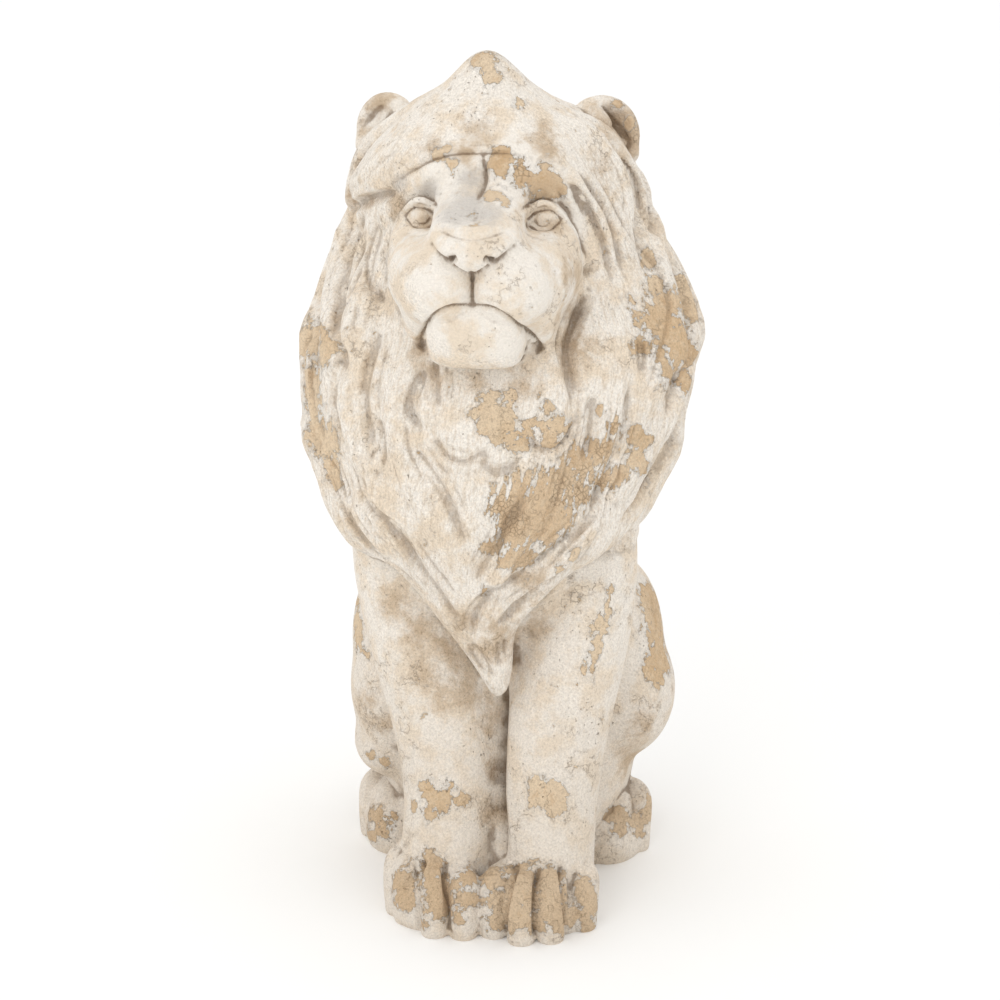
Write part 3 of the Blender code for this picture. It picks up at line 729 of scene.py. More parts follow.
    def grooves(self) -> list[Stroke]:
        """Carved lines of the hood and the front locks.

        Returns:
            The strokes.
        """
        return [
            Stroke([(-122, -11, 583), (-106, -45, 598), (-88, -66, 607), (-74, -80, 612)], 7, 9),
            Stroke([
                (-79, -74, 612), (-63, -91, 628), (-32, -102, 645),
                (0, -104, 650), (30, -101, 646), (60, -93, 626),
            ], 13, 2.4),
            Stroke([(64, -88, 628), (80, -74, 602), (92, -64, 570), (100, -66, 540)], 5.5, 4.5),
            Stroke([(74, -84, 634), (90, -68, 606), (101, -58, 574), (109, -60, 545)], 4.5, 3.5),
            Stroke([(58, -94, 622), (70, -82, 594), (80, -74, 562)], 4.5, 2.5),
            Stroke([(95, -40, 650), (112, -20, 620), (121, -15, 590), (131, -30, 550)], 9, 8),
            Stroke([(-100, -55, 572), (-114, -50, 542), (-122, -60, 515), (-124, -78, 488)], 7, 4),
            Stroke([(-88, -66, 585), (-98, -61, 555), (-94, -70, 535), (-80, -88, 524)], 9, 6),
            Stroke([(-112, -95, 485), (-118, -102, 468), (-125, -106, 450), (-118, -120, 420)], 7, 5),
            Stroke([(-80, -95, 505), (-88, -110, 480), (-92, -125, 450), (-82, -142, 400)], 8, 6),
            Stroke([(-43, -128, 482), (-50, -134, 468), (-54, -142, 452), (-42, -150, 436)], 6.5, 6),
            Stroke([(-36, -123, 490), (-32, -135, 472), (-31, -145, 455)], 6, 5),
            Stroke([(-84, -137, 445), (-80, -142, 428), (-80, -146, 403)], 5.5, 5.5),
            Stroke([(-52, -153, 425), (-40, -156, 410), (-24, -159, 385), (-14, -158, 350)], 5.5, 4.5),
            Stroke([(-34, -154, 434), (-26, -156, 420), (-10, -158, 416), (6, -157, 424)], 5.5, 5),
            Stroke([(3, -157, 424), (9, -158, 412), (20, -157, 410), (36, -155, 416)], 5.5, 4.5),
            Stroke([(38, -152, 434), (53, -150, 424), (68, -144, 430), (78, -140, 444)], 5.5, 4.5),
            Stroke([(86, -88, 540), (73, -102, 516), (68, -115, 495), (76, -130, 462)], 9, 12),
            Stroke([(89, -125, 465), (90, -134, 440), (84, -140, 410)], 8, 7),
            Stroke([(117, -105, 470), (115, -120, 435), (105, -130, 400), (85, -138, 370)], 9, 8),
            Stroke([(124, -85, 500), (127, -98, 474)], 7, 5),
            Stroke([(147, -70, 470), (150, -64, 425), (138, -80, 385), (115, -110, 345)], 8, 5),
            Stroke([(-105, -135, 400), (-92, -140, 372), (-70, -150, 352), (-50, -144, 315)], 8, 6),
            Stroke([(-70, -150, 355), (-55, -146, 325), (-40, -144, 300), (-22, -138, 268)], 7, 6),
            Stroke([(-130, -110, 400), (-115, -120, 365), (-88, -130, 325), (-60, -130, 300)], 7, 5),
            Stroke([(-16, -141, 264), (-9, -145, 286), (10, -146, 306), (34, -146, 322)], 8, 8),
            Stroke([(34, -146, 322), (61, -145, 344), (87, -136, 369), (100, -130, 390)], 7, 6),
            Stroke([(6, -141, 272), (26, -140, 288), (50, -140, 306), (80, -135, 335)], 7, 5),
            Stroke([(-8, -148, 313), (4, -152, 334), (20, -155, 360), (42, -150, 395)], 7, 5),
            Stroke([(-18, -139, 256), (-7, -140, 242), (1, -138, 222)], 6, 5),
            Stroke([(8, -138, 258), (9, -138, 235)], 5, 4),
        ]

    def strands(self) -> list[Stroke]:
        """Fine lines that follow the grooves and locks, with a seeded, repeatable scatter.

        Returns:
            The strokes.
        """
        draw = np.random.default_rng(self.seed)
        lines = [(stroke.line, 3) for stroke in self.ridges()[:1] + self.ridges()[2:] + self.grooves()[1:]]
        lines += [(ridge, 2) for ridge, _ in self.lock_lines()]
        strokes = []
        for line, count in lines:
            for _ in range(count):
                offset = draw.uniform(-13, 13)
                drift = draw.uniform(-4, 4)
                start = draw.uniform(0, 0.35)
                end = draw.uniform(0.65, 1.0)
                points = [place for place, _ in eased([(place, 1.0) for place in line], 5)]
                first, last = int(start * (len(points) - 1)), int(end * (len(points) - 1))
                if last - first < 3:
                    continue
                moved = []
                for i in range(first, last + 1, 2):
                    way = points[min(i + 1, len(points) - 1)] - points[max(i - 1, 0)]
                    out = Vector((points[i].x, points[i].y, 0.0))
                    across = way.cross(out).normalized()
                    moved.append(tuple(points[i] + across * (offset + drift * i / len(points))))
                strokes.append(Stroke(moved, draw.uniform(2.6, 4.2), draw.uniform(1.0, 2.2)))
        return strokes


@dataclass
class Head:
    """The face and the ears."""

    chin: list[Row] = field(default_factory=lambda: [
        (0.553, 0, 0.000, -0.150, -0.145),
        (0.549, 0, 0.013, -0.169, -0.125),
        (0.541, 0, 0.028, -0.1755, -0.110),
        (0.528, 0, 0.038, -0.1785, -0.105),
        (0.514, 0, 0.039, -0.176, -0.105),
        (0.502, 0, 0.037, -0.172, -0.105),
        (0.495, 0, 0.034, -0.166, -0.110),
        (0.491, 0, 0.024, -0.156, -0.115),
        (0.490, 0, 0.000, -0.136, -0.130),
    ])
    eye: Place = (0.0490, -0.0925, 0.6005)
    eye_radius: float = 0.0125
    iris: Place = (48, -106, 600.5)
    iris_radius: float = 6
    upper_lid: Stations = field(default_factory=lambda: [
        ((0.0335, -0.1035, 0.5975), 0.0021),
        ((0.0395, -0.1055, 0.6090), 0.0027),
        ((0.0490, -0.1058, 0.6135), 0.0029),
        ((0.0585, -0.1010, 0.6085), 0.0026),
        ((0.0665, -0.0925, 0.5985), 0.0019),
    ])
    lower_lid: Stations = field(default_factory=lambda: [
        ((0.0335, -0.1035, 0.5975), 0.0019),
        ((0.0410, -0.1050, 0.5905), 0.0021),
        ((0.0500, -0.1045, 0.5880), 0.0021),
        ((0.0585, -0.0998, 0.5905), 0.0020),
        ((0.0665, -0.0925, 0.5985), 0.0017),
    ])

    def masses(self) -> list[bpy.types.Object]:
        """The broad forms of the face, before they are smoothed into one.

        Returns:
            Their closed parts.
        """
        parts = [
            Clay.ball((0, -0.026, 0.598), (0.092, 0.084, 0.076)),
            Clay.ball((0, -0.040, 0.565), (0.086, 0.060, 0.070)),
            Clay.ball((0, -0.118, 0.560), (0.054, 0.054, 0.038)),
            Clay.ball((0, -0.062, 0.650), (0.066, 0.040, 0.030), (30, 0, 0)),
            Clay.ball((0, -0.095, 0.520), (0.052, 0.050, 0.040)),
            Clay.ball((0, -0.162, 0.5900), (0.034, 0.026, 0.0180), (-6, 0, 0)),
        ]
        bridge = [
            ((0.014, -0.084, 0.618), 0.026),
            ((0.014, -0.120, 0.604), 0.023),
            ((0.017, -0.156, 0.592), 0.020),
        ]
        cheek = [
            ((0.048, -0.086, 0.574), 0.029),
            ((0.046, -0.092, 0.552), 0.033),
            ((0.037, -0.098, 0.525), 0.028),
        ]
        brow = [
            ((0.012, -0.092, 0.640), 0.020),
            ((0.034, -0.090, 0.637), 0.020),
            ((0.056, -0.078, 0.627), 0.017),
            ((0.070, -0.062, 0.610), 0.016),
        ]
        lip = [
            ((0.030, -0.150, 0.555), 0.027),
            ((0.041, -0.134, 0.537), 0.022),
            ((0.047, -0.122, 0.516), 0.014),
        ]
        for side in Side:
            for stations in (bridge, cheek, brow, lip):
                parts += Clay.limb(sided(stations, side))
            parts.append(Clay.ball((0.027 * side.value, -0.150, 0.557), (0.035, 0.039, 0.034)))
            parts.append(Clay.ball((0.042 * side.value, -0.118, 0.557), (0.032, 0.040, 0.036)))
            parts.append(Clay.ball((0.036 * side.value, -0.085, 0.597), (0.018, 0.018, 0.018)))
        return parts

    def features(self) -> list[bpy.types.Object]:
        """The chin plate, the nose tip and pad, the eyeballs and the lids.

        Returns:
            Their closed parts.
        """
        x, y, z = self.eye
        parts = [
            Clay.column(self.chin, square=3.6),
            Clay.ball((0, -0.1715, 0.5840), (0.0195, 0.0180, 0.0130)),
            Clay.ball((0, -0.1680, 0.5905), (0.0335, 0.0200, 0.0125)),
        ]
        for side in Side:
            parts.append(Clay.ball((x * side.value, y, z), (self.eye_radius,) * 3))
            parts += Clay.limb(sided(self.upper_lid, side)) + Clay.limb(sided(self.lower_lid, side))
        return parts

    def ear(self, at: Place, radii: Place, side: Side, hollow: float) -> bpy.types.Object:
        """A cupped ear: a ball with its front pressed in.

        Args:
            at: Its middle.
            radii: Its radii.
            side: The side it is on.
            hollow: How deep the cup is, as a share of the ball.

        Returns:
            The ear.
        """
        rim_share = 0.8
        bpy.ops.object.select_all(action="DESELECT")
        bpy.ops.mesh.primitive_uv_sphere_add(radius=1.0, **Clay.SPHERE)
        ear = bpy.context.object
        for vertex in ear.data.vertices:
            rim = math.hypot(vertex.co.x, vertex.co.z)
            if vertex.co.y < 0 and rim < rim_share:
                vertex.co.y = -0.6 + hollow * (1 - (rim / rim_share) ** 2)
        ear.location = at
        ear.rotation_euler = [math.radians(a) for a in (-8, 12 * side.value, 22 * side.value)]
        ear.scale = radii
        bpy.context.view_layer.update()
        return Clay.settle(ear)

    def build(self) -> bpy.types.Object:
        """The fused front of the head, with the ears.

        Returns:
            Its object.
        """
        face = Sculpt("face", self.masses(), Build.FACE, 18)
        for mirror in (1, -1):
            seam = [(44, -140, 590), (62, -118, 572), (66, -105, 545), (56, -105, 520)]
            face.soften([(x * mirror, y, z) for x, y, z in seam], 22, 80)
        face.carve(both([
            Stroke([(40, -100, 602), (52, -98, 603), (62, -92, 600)], 20, 3),
            Stroke([(38, -130, 597), (44, -115, 588)], 12, 1.5),
        ]), (0, 1, 0))
        parts = [face.obj] + self.features()
        parts.append(self.ear((-0.090, 0.006, 0.6485), (0.029, 0.018, 0.0310), Side.RIGHT, 0.40))
        parts.append(self.ear((0.0860, 0.006, 0.6465), (0.0330, 0.018, 0.0335), Side.LEFT, 0.95))
        parts.append(Clay.ball((0.0780, -0.003, 0.6540), (0.0150, 0.0100, 0.0180)))
        return Sculpt("head", parts, Build.HEAD, 2).obj

    def strokes(self) -> list[Stroke]:
        """Mouth, philtrum, nose, lids, irises and the crease of the brow.

        Returns:
            The strokes.
        """
        middle = [
            Stroke([(0, -190, 577), (0, -188, 564), (0, -184, 550)], 3.2, 4.5),
            Stroke([(0, -190, 574), (0, -184, 549)], 9, 2.5),
            Stroke([(1, -108, 652), (2, -113, 643), (3, -118, 632), (0, -126, 619)], 4.5, 3.6),
            Stroke([
                (-31, -168, 605), (-14, -176, 600), (0, -180, 598.5), (14, -176, 600), (31, -168, 606),
            ], 4, 2.2),
            Stroke([(-27, -166, 610), (0, -174, 604), (27, -166, 611)], 6, -1.6),
        ]
        paired = [
            Stroke([
                (0, -186, 550), (17, -184, 546), (34, -172, 532), (45, -152, 516), (50, -140, 505),
            ], 3.6, 4.5),
            Stroke([(44, -150, 512), (49, -140, 503)], 7, 5),
            Stroke([(35, -165, 594), (29, -176, 588), (20, -184, 583), (9, -188, 577), (1, -190, 575)], 5, 4),
            Stroke([(11, -190, 587), (14, -190, 586), (19, -188, 584)], 4.4, 6),
            Stroke([
                (32, -106, 602), (38, -108, 612), (50, -107, 618), (62, -101, 612), (70, -94, 602),
            ], 4.5, 2.4),
            Stroke([(36, -106, 588), (48, -106, 583), (62, -100, 587)], 5, 1.2),
            Stroke([
                (36, -108, 598), (41, -109, 605.5), (48.5, -109, 609), (56, -105, 606), (62, -98, 599),
            ], 2.2, 2.4),
            Stroke([
                (36, -108, 597), (42, -109, 593), (49.5, -108, 591.5), (57, -104, 593.5), (62, -98, 598),
            ], 2.0, 1.8),
        ]
        x, y, z = self.iris
        radius = self.iris_radius
        turns = [k * math.pi / 6 for k in range(13)]
        iris = [(x + radius * math.cos(turn), y, z + radius * math.sin(turn)) for turn in turns]
        return middle + both(paired + [Stroke(iris, 1.8, 0.9)])


@dataclass
class Stand:
    """How the finished casting is trimmed and set on the ground, in metres, as the solid is."""

    lean: float = -0.010
    lean_from: float = 0.22
    lean_to: float = 0.48
    middle_x: float = -0.00473
    middle_y: float = -0.00254
    scale: float = 0.99701
    triangles: int = 196000

    def leaned(self, places: np.ndarray) -> np.ndarray:
        """Sets the head and mane a little to the lion's right.

        Args:
            places: Rows of places.

        Returns:
            The same rows, moved.
        """
        t = np.clip((places[:, 2] - self.lean_from) / (self.lean_to - self.lean_from), 0, 1)
        places[:, 0] += self.lean * t * t * (3 - 2 * t)
        return places

    def set_down(self, sculpt: Sculpt) -> None:
        """Brings the triangles down, cuts the underside flat and puts the statue on the origin.

        Args:
            sculpt: The carved casting. Its face keeps all its triangles.
        """
        obj = sculpt.obj
        count = sum(len(face.vertices) - 2 for face in obj.data.polygons)
        x, y, z = sculpt.places().T
        face = ((x + 0.010) / 0.078) ** 2 + ((y + 0.120) / 0.080) ** 2 + ((z - 0.580) / 0.100) ** 2
        group = obj.vertex_groups.new(name="thinned")
        group.add(np.nonzero(face > 1)[0].tolist(), 1.0, "REPLACE")
        sculpt.apply("DECIMATE", ratio=min(1.0, self.triangles / count), vertex_group=group.name)
        obj.vertex_groups.clear()
        work = bmesh.new()
        work.from_mesh(obj.data)
        whole = work.verts[:] + work.edges[:] + work.faces[:]
        bmesh.ops.bisect_plane(work, geom=whole, plane_co=(0, 0, 0), plane_no=(0, 0, 1), clear_inner=True)
        rim = [edge for edge in work.edges if edge.is_boundary]
        bmesh.ops.triangle_fill(work, use_beauty=True, edges=rim, normal=(0, 0, -1))
        bmesh.ops.triangulate(work, faces=work.faces[:])
        bmesh.ops.remove_doubles(work, verts=work.verts, dist=1e-5)
        bmesh.ops.recalc_face_normals(work, faces=work.faces)
        work.to_mesh(obj.data)
        work.free()
        places = sculpt.places() - (self.middle_x, self.middle_y, 0.0)
        sculpt.put(places * self.scale)


@dataclass
class LionStatue:
    """The whole casting, and the lines in millimetres along which its seams are smoothed."""

    body: Body = field(default_factory=Body)
    paws: Paws = field(default_factory=Paws)
    mane: Mane = field(default_factory=Mane)
    head: Head = field(default_factory=Head)
    stand: Stand = field(default_factory=Stand)
    forehead: Line = field(default_factory=lambda: [
        (-72, -84, 628), (-38, -98, 662), (38, -98, 660), (70, -86, 626),
    ])
    cheek: Line = field(default_factory=lambda: [
        (92, -70, 610), (94, -70, 570), (76, -85, 530), (56, -100, 500),
    ])
    flank: Line = field(default_factory=lambda: [
        (102, -14, 225), (94, -28, 180), (86, -40, 140), (80, -46, 90),
    ])
    sight: Place = (0, 0.95, -0.31)
    toe_roots: Line = field(default_factory=lambda: [
        (-80, -88, 58), (-62, -118, 62), (-40, -134, 63), (-12, -134, 62),
        (14, -136, 62), (40, -138, 63), (62, -128, 62), (82, -100, 56),
    ])

    def build(self) -> Sculpt:
        """The statue's mesh, carved and set down.

        Returns:
            The casting.
        """
        parts = [self.body.build(), self.paws.build(), self.mane.build(), self.head.build()]
        for part in parts:
            log.info("%s: fused, %d faces", part.name, len(part.data.polygons))
        whole = Sculpt("lion_casting", parts, Build.FINAL, 1)
        for side in (Side.LEFT, Side.RIGHT):
            whole.soften([(x * side.value, y, z) for x, y, z in self.cheek], 32, 150)
        whole.soften(self.toe_roots, 20, 40)
        for side in (Side.LEFT, Side.RIGHT):
            whole.soften([(x * side.value, y, z) for x, y, z in self.flank], 34, 300)
        whole.carve(self.mane.ridges())
        whole.soften(self.forehead, 30, 90)
        whole.carve(self.mane.lock_strokes())
        whole.carve(self.mane.grooves() + self.body.strokes())
        whole.carve(self.mane.strands())
        whole.carve(self.head.strokes() + self.paws.strokes(), self.sight)
        whole.smooth(1)
        whole.put(self.stand.leaned(whole.places()))
        self.stand.set_down(whole)
        return whole


@dataclass(frozen=True)
class View:
    """The picture that the statue is judged by: a plane through the aim, square to the line of sight."""

    azimuth: float = 6.0
    elevation: float = 18.0
    distance: float = 2.2
    lens: float = 92.52
    target: Place = (-0.0068, 0.0, 0.333)

    def frame(self, stand: Stand) -> tuple[Vector, Vector, Vector, Vector]:
        """The view in the finished statue's coordinates.

        Args:
            stand: How the statue was set down.

        Returns:
            The aim point, and the unit vectors to the right, up and back towards the camera.
        """
        a, e = math.radians(self.azimuth), math.radians(self.elevation)
        back = Vector((math.sin(a) * math.cos(e), -math.cos(a) * math.cos(e), math.sin(e)))
        right = Vector((math.cos(a), math.sin(a), 0.0))
        aim = (Vector(self.target) - Vector((stand.middle_x, stand.middle_y, 0.0))) * stand.scale
        return aim, right, back.cross(right), back


@dataclass
class Weathering:
    """Where the coat has flaked, browned or gathered dirt, and where shade is painted on it.

    A mark is millimetres to the right of the aim and above it, as seen in the view, and a radius.
    """

    view: View = field(default_factory=View)
    bare: tuple = (
        (-12, 372, 12), (-9, 360, 10), (-19, 375, 6), (15, 339, 6.9), (-53, 294, 6.9), (-41, 287, 6),
        (-45, 300, 4), (-7, 260, 6.9), (4, 255, 8), (-167, 133, 15.7), (-156, 141, 15.7), (-150, 124, 13.1),
        (-160, 103, 15.7), (-163, 81, 15.5), (-158, 64, 16.8), (-150, 47, 14.4), (-147, 30, 12),
        (-141, 17, 9.6), (127, 204, 10.4), (133, 184, 11.8), (144, 171, 13.1), (158, 184, 13.1),
        (163, 163, 11.8), (139, 154, 18.4), (154, 141, 18.4), (146, 124, 16.9), (163, 128, 10.4),
        (144, 107, 11.8), (158, 98, 9.1), (116, 154, 7.9), (110, 171, 5.5), (122, 133, 9.1), (120, 51, 12),
        (113, 34, 8.9), (122, 26, 9.6), (116, 60, 7.2), (-9, 81, 14), (4, 68, 12), (-13, 64, 10),
        (17, 51, 12), (39, 81, 8), (51, 64, 10), (43, 51, 8), (9, 90, 6.9), (0, 51, 8), (26, 64, 10),
        (-21, 73, 6), (64, -47, 6.9), (51, -60, 6), (-13, -77, 6), (96, -77, 6), (91, -94, 8),
        (86, -111, 8.9), (81, -128, 8.9), (75, -144, 6.9), (125, -77, 11.9), (130, -90, 15.3),
        (133, -107, 17.1), (135, -124, 17.1), (130, -137, 15.3), (140, -141, 10.3), (137, -150, 10.3),
        (-122, -86, 9.1), (-122, -103, 10.6), (-121, -120, 9.1), (-115, -128, 7.7), (-110, -218, 6.9),
        (-98, -223, 6), (-62, -248, 10), (-51, -257, 8.9), (-43, -244, 6.9), (-34, -257, 6), (-73, -261, 6),
        (-60, -267, 8), (39, -248, 12), (47, -257, 12), (30, -244, 6), (43, -235, 6), (51, -244, 6.9),
        (26, -257, 5), (-86, -325, 11.4), (-81, -342, 13.2), (-60, -317, 14.7), (-54, -334, 14.7),
        (-51, -347, 13.2), (-27, -325, 13.2), (-26, -342, 11.4), (-34, -355, 8.3), (-66, -364, 6.5),
        (-6, -325, 11.4), (-5, -342, 13.2), (-4, -360, 13.2), (15, -321, 14.7), (16, -338, 14.7),
        (17, -355, 13.2), (43, -325, 14.7), (47, -342, 14.7), (51, -360, 11.4), (62, -355, 11.4),
        (71, -334, 9.9), (77, -347, 13.2), (75, -364, 11.4), (34, -364, 6.5), (-105, -270, 10.6),
        (-98, -282, 10.6), (-92, -270, 8), (-110, -287, 8), (103, -270, 9.2), (101, -282, 8),
        (92, -270, 6.7), (116, -274, 8), (120, -284, 8),
    )
    brown: tuple = (
        (0, 287, 12.3), (17, 278, 17.3), (39, 272, 14.8), (51, 265, 7.4), (4, 295, 8.6), (0, -4, 16),
        (17, 9, 16), (9, -26, 18), (26, -17, 18), (39, 0, 18), (51, 17, 16), (68, 30, 16), (86, 43, 12),
        (98, 64, 10), (86, 77, 6.9), (51, -13, 16), (39, -30, 14), (21, -47, 14), (4, -51, 10), (68, 4, 14),
        (86, 17, 12), (103, 21, 10), (-9, -39, 8), (101, 338, 7.4), (110, 321, 6.2), (-60, -325, 5),
        (-81, -330, 5),
    )
    # painted grey shade beside the bridge of the nose and round the lion's right eye
    painted_grey_shade: tuple = (
        (-26, 253, 19), (-39, 244, 17.1), (-9, 244, 15.2), (-60, 265, 11.4), (-26, 274, 13.3),
        (-86, 270, 9.5),
    )
    # stains on the ears, hood and mane, and painted shade under the chin, under the bib, in the crease
    # between the forelegs and at the foot of the paws
    stain_and_shade: tuple = (
        (-45, -125, 16), (-38, -150, 16), (-62, -150, 14), (-28, -170, 12), (-52, -172, 12),
        (-10, -165, 10), (-28, -105, 14), (0, -112, 12), (12, -135, 12), (34, -105, 14), (-20, 318, 16),
        (34, 312, 14), (101, 330, 26), (104, 322, 22), (110, 338, 14), (112, 312, 18), (114, 300, 12),
        (-104, 338, 20), (-118, 318, 14), (86, 285, 14), (62, 190, 16), (60, 160, 16), (66, 130, 18),
        (40, 300, 16), (-60, 300, 14), (-30, 295, 12), (-130, 260, 12), (-112, 252, 12), (-86, 250, 12),
        (-60, 235, 8), (45, 232, 10), (-7, -190, 16), (-6, -230, 14), (-7, -270, 14), (-70, -110, 22),
        (-90, -90, 18), (28, -70, 22), (10, -120, 18), (-10, -130, 16), (-100, -190, 18), (-110, -170, 16),
        (120, -190, 20), (112, -220, 18), (-80, -330, 18), (-60, -340, 18), (-30, -345, 18), (0, -345, 18),
        (30, -345, 18), (60, -345, 18), (118, -270, 14), (-105, -270, 16), (-60, 110, 14), (-70, 130, 12),
        (20, 95, 18), (-20, 100, 14),
    )
    floor: float = -0.60  # a mark's value far outside it
    merge: float = 4.0  # how readily marks that touch run together
    through: float = 0.4  # how much of a gap counts along the line of sight
    depths: tuple = ((5, 0.0004, 0.85), (30, 0.0040, 0.35))  # smoothing rounds, full depth, share
    shallow: float = -0.3
    mane_low: float = 0.312
    bib_low: float = 0.19
    bib_top: float = 0.40
    bib_front: float = -0.100
    bib_rim: float = 0.012
    thinnest: float = 0.01
    girth: float = 0.13  # how fast the flow changes across the strands
    mane_run: float = 0.20  # and along them
    limb_run: float = 0.30
    limb_fur: float = 0.28
    crown_from: float = 0.62
    crown_fade: float = 0.05
    crown_loss: float = 0.6
    face: tuple[Place, Place] = ((0.0, -0.115, 0.575), (0.078, 0.095, 0.092))
    ear: Place = (0.090, 0.006, 0.648)

    def thrown(self, tree: BVHTree, marks: tuple, stand: Stand) -> list[tuple[Vector, float]]:
        """The marks on the surface.

        Args:
            tree: The surface.
            marks: Rows of across, up and radius.
            stand: How the statue was set down.

        Returns:
            A place and a radius in metres for each mark that meets the surface.
        """
        aim, right, up, back = self.view.frame(stand)
        eye = aim + back * self.view.distance * stand.scale
        found = []
        for across, high, radius in marks:
            through = aim + right * (across * MM) + up * (high * MM)
            hit, _, _, _ = tree.ray_cast(eye, (through - eye).normalized())
            if hit is not None:
                found.append((hit, radius * MM))
        return found

    def spread(self, places: np.ndarray, marks: list[tuple[Vector, float]], back: Vector) -> np.ndarray:
        """How far inside the marks each place is, where marks that touch run together like drops.

        Args:
            places: Rows of places.
            marks: Places and radii of the marks.
            back: The line of sight, along which a mark reaches further than across it.

        Returns:
            From the floor value outside up to about 1 in a mark's middle.
        """
        total = np.full(len(places), math.exp(self.merge * self.floor))
        for centre, radius in marks:
            offset = places - np.array(centre)
            depth = offset @ np.array(back)
            gap = np.sqrt((offset**2).sum(axis=1) - depth**2 * (1 - self.through**2))
            total += np.exp(self.merge * np.maximum(1 - gap / radius, -2.0))
        return np.log(total) / self.merge

    def hollows(self, sculpt: Sculpt, places: np.ndarray) -> np.ndarray:
        """How deep in a groove each place is, at a fine and a broad scale together.

        Args:
            sculpt: The finished casting.
            places: Its vertex places.

        Returns:
            From 0 on open ground to 1 in a deep groove.
        """
        mesh = sculpt.obj.data
        ends = np.empty(len(mesh.edges) * 2, dtype=np.int64)
        mesh.edges.foreach_get("vertices", ends)
        a, b = ends[0::2], ends[1::2]
        count = len(places)
        share = np.maximum(np.bincount(a, minlength=count) + np.bincount(b, minlength=count), 1)
        normals = np.empty(count * 3)
        mesh.vertex_normals.foreach_get("vector", normals)
        normals = normals.reshape(-1, 3)
        smooth = places.copy()
        total = np.zeros(count)
        done = 0
        for rounds, full, weight in self.depths:
            for _ in range(rounds - done):
                moved = np.empty_like(smooth)
                for axis in range(3):
                    near = np.bincount(a, smooth[b, axis], count) + np.bincount(b, smooth[a, axis], count)
                    moved[:, axis] = near / share
                smooth = (smooth + moved) / 2
            done = rounds
            depth = ((smooth - places) * normals).sum(axis=1)
            total += np.clip(depth / full, self.shallow, 1) * weight
        return np.clip(total, 0, 1)

    def flow(self, places: np.ndarray, mane: Mane) -> tuple[np.ndarray, np.ndarray]:
        """Where hair is carved, and coordinates that run along it.

        Args:
            places: Rows of places before the set down.
            mane: The mane, which gives the middle and width at each height.

        Returns:
            The share of hair, and rows of coordinates that change slowly along the strands.
        """
        x, y, z = places.T
        centre, half, front, back = mane.section(z)
        rising = mane.bib[::-1]
        bib_half = np.interp(z, [row[0] for row in rising], [row[2] for row in rising])
        bib = (z > self.bib_low) & (z < self.bib_top) & (y < self.bib_front)
        bib &= np.abs(x) < bib_half + self.bib_rim
        across = (x - centre) / np.maximum(half, self.thinnest)
        ahead = ((front + back) / 2 - y) / np.maximum((back - front) / 2, self.thinnest)
        turn = np.arctan2(across, ahead)
        around = np.stack([np.sin(turn) * self.girth, np.cos(turn) * self.girth, z * self.mane_run], axis=1)
        limbs = np.stack([x, y, z * self.limb_run], axis=1)
        haired = (z > self.mane_low) | bib
        crown = np.clip((z - self.crown_from) / self.crown_fade, 0, 1)
        fur = np.where(haired, 1.0 - self.crown_loss * crown, self.limb_fur)
        fur *= np.clip((self.within(places, *self.face) - 0.95) / 0.25, 0, 1)
        one = (1.0, 1.0, 1.0)
        to_ears = [self.within(places, (side.value * self.ear[0], *self.ear[1:]), one) for side in Side]
        fur *= np.clip((np.minimum(*to_ears) - 0.028) / 0.012, 0.15, 1)
        return fur, np.where(haired[:, None], around, limbs)

    @staticmethod
    def within(places: np.ndarray, centre: Place, radii: Place) -> np.ndarray:
        """Each place's distance from a centre, in the radii of an ellipsoid about it."""
        return np.sqrt((((places - centre) / radii) ** 2).sum(axis=1))

    def apply(self, sculpt: Sculpt, mane: Mane, stand: Stand) -> None:
        """Writes the marks, the hollows and the hair on the finished mesh.

        Args:
            sculpt: The finished casting.
            mane: The mane.
            stand: How the casting was set down.
        """
        places = sculpt.places()
        tree = sculpt.tree()
        mesh = sculpt.obj.data
        back = self.view.frame(stand)[3]
        for name in ("bare", "brown", "painted_grey_shade", "stain_and_shade"):
            marks = self.thrown(tree, getattr(self, name), stand)
            self.write(mesh, name, self.spread(places, marks, back))
        # the material paints the hollows darker, as dirt and painted shade
        self.write(mesh, "hollow", self.hollows(sculpt, places))
        raw = places / stand.scale + (stand.middle_x, stand.middle_y, 0.0)
        fur, flow = self.flow(raw, mane)
        self.write(mesh, "fur", fur)
        self.write(mesh, "behind", np.clip((places[:, 1] + 0.02) / 0.06, 0, 1))
        mesh.attributes.new("flow", "FLOAT_VECTOR", "POINT").data.foreach_set("vector", flow.ravel())

    @staticmethod
    def write(mesh: bpy.types.Mesh, name: str, values: np.ndarray) -> None:
        """Stores one number for each vertex."""
        mesh.attributes.new(name, "FLOAT", "POINT").data.foreach_set("value", values)


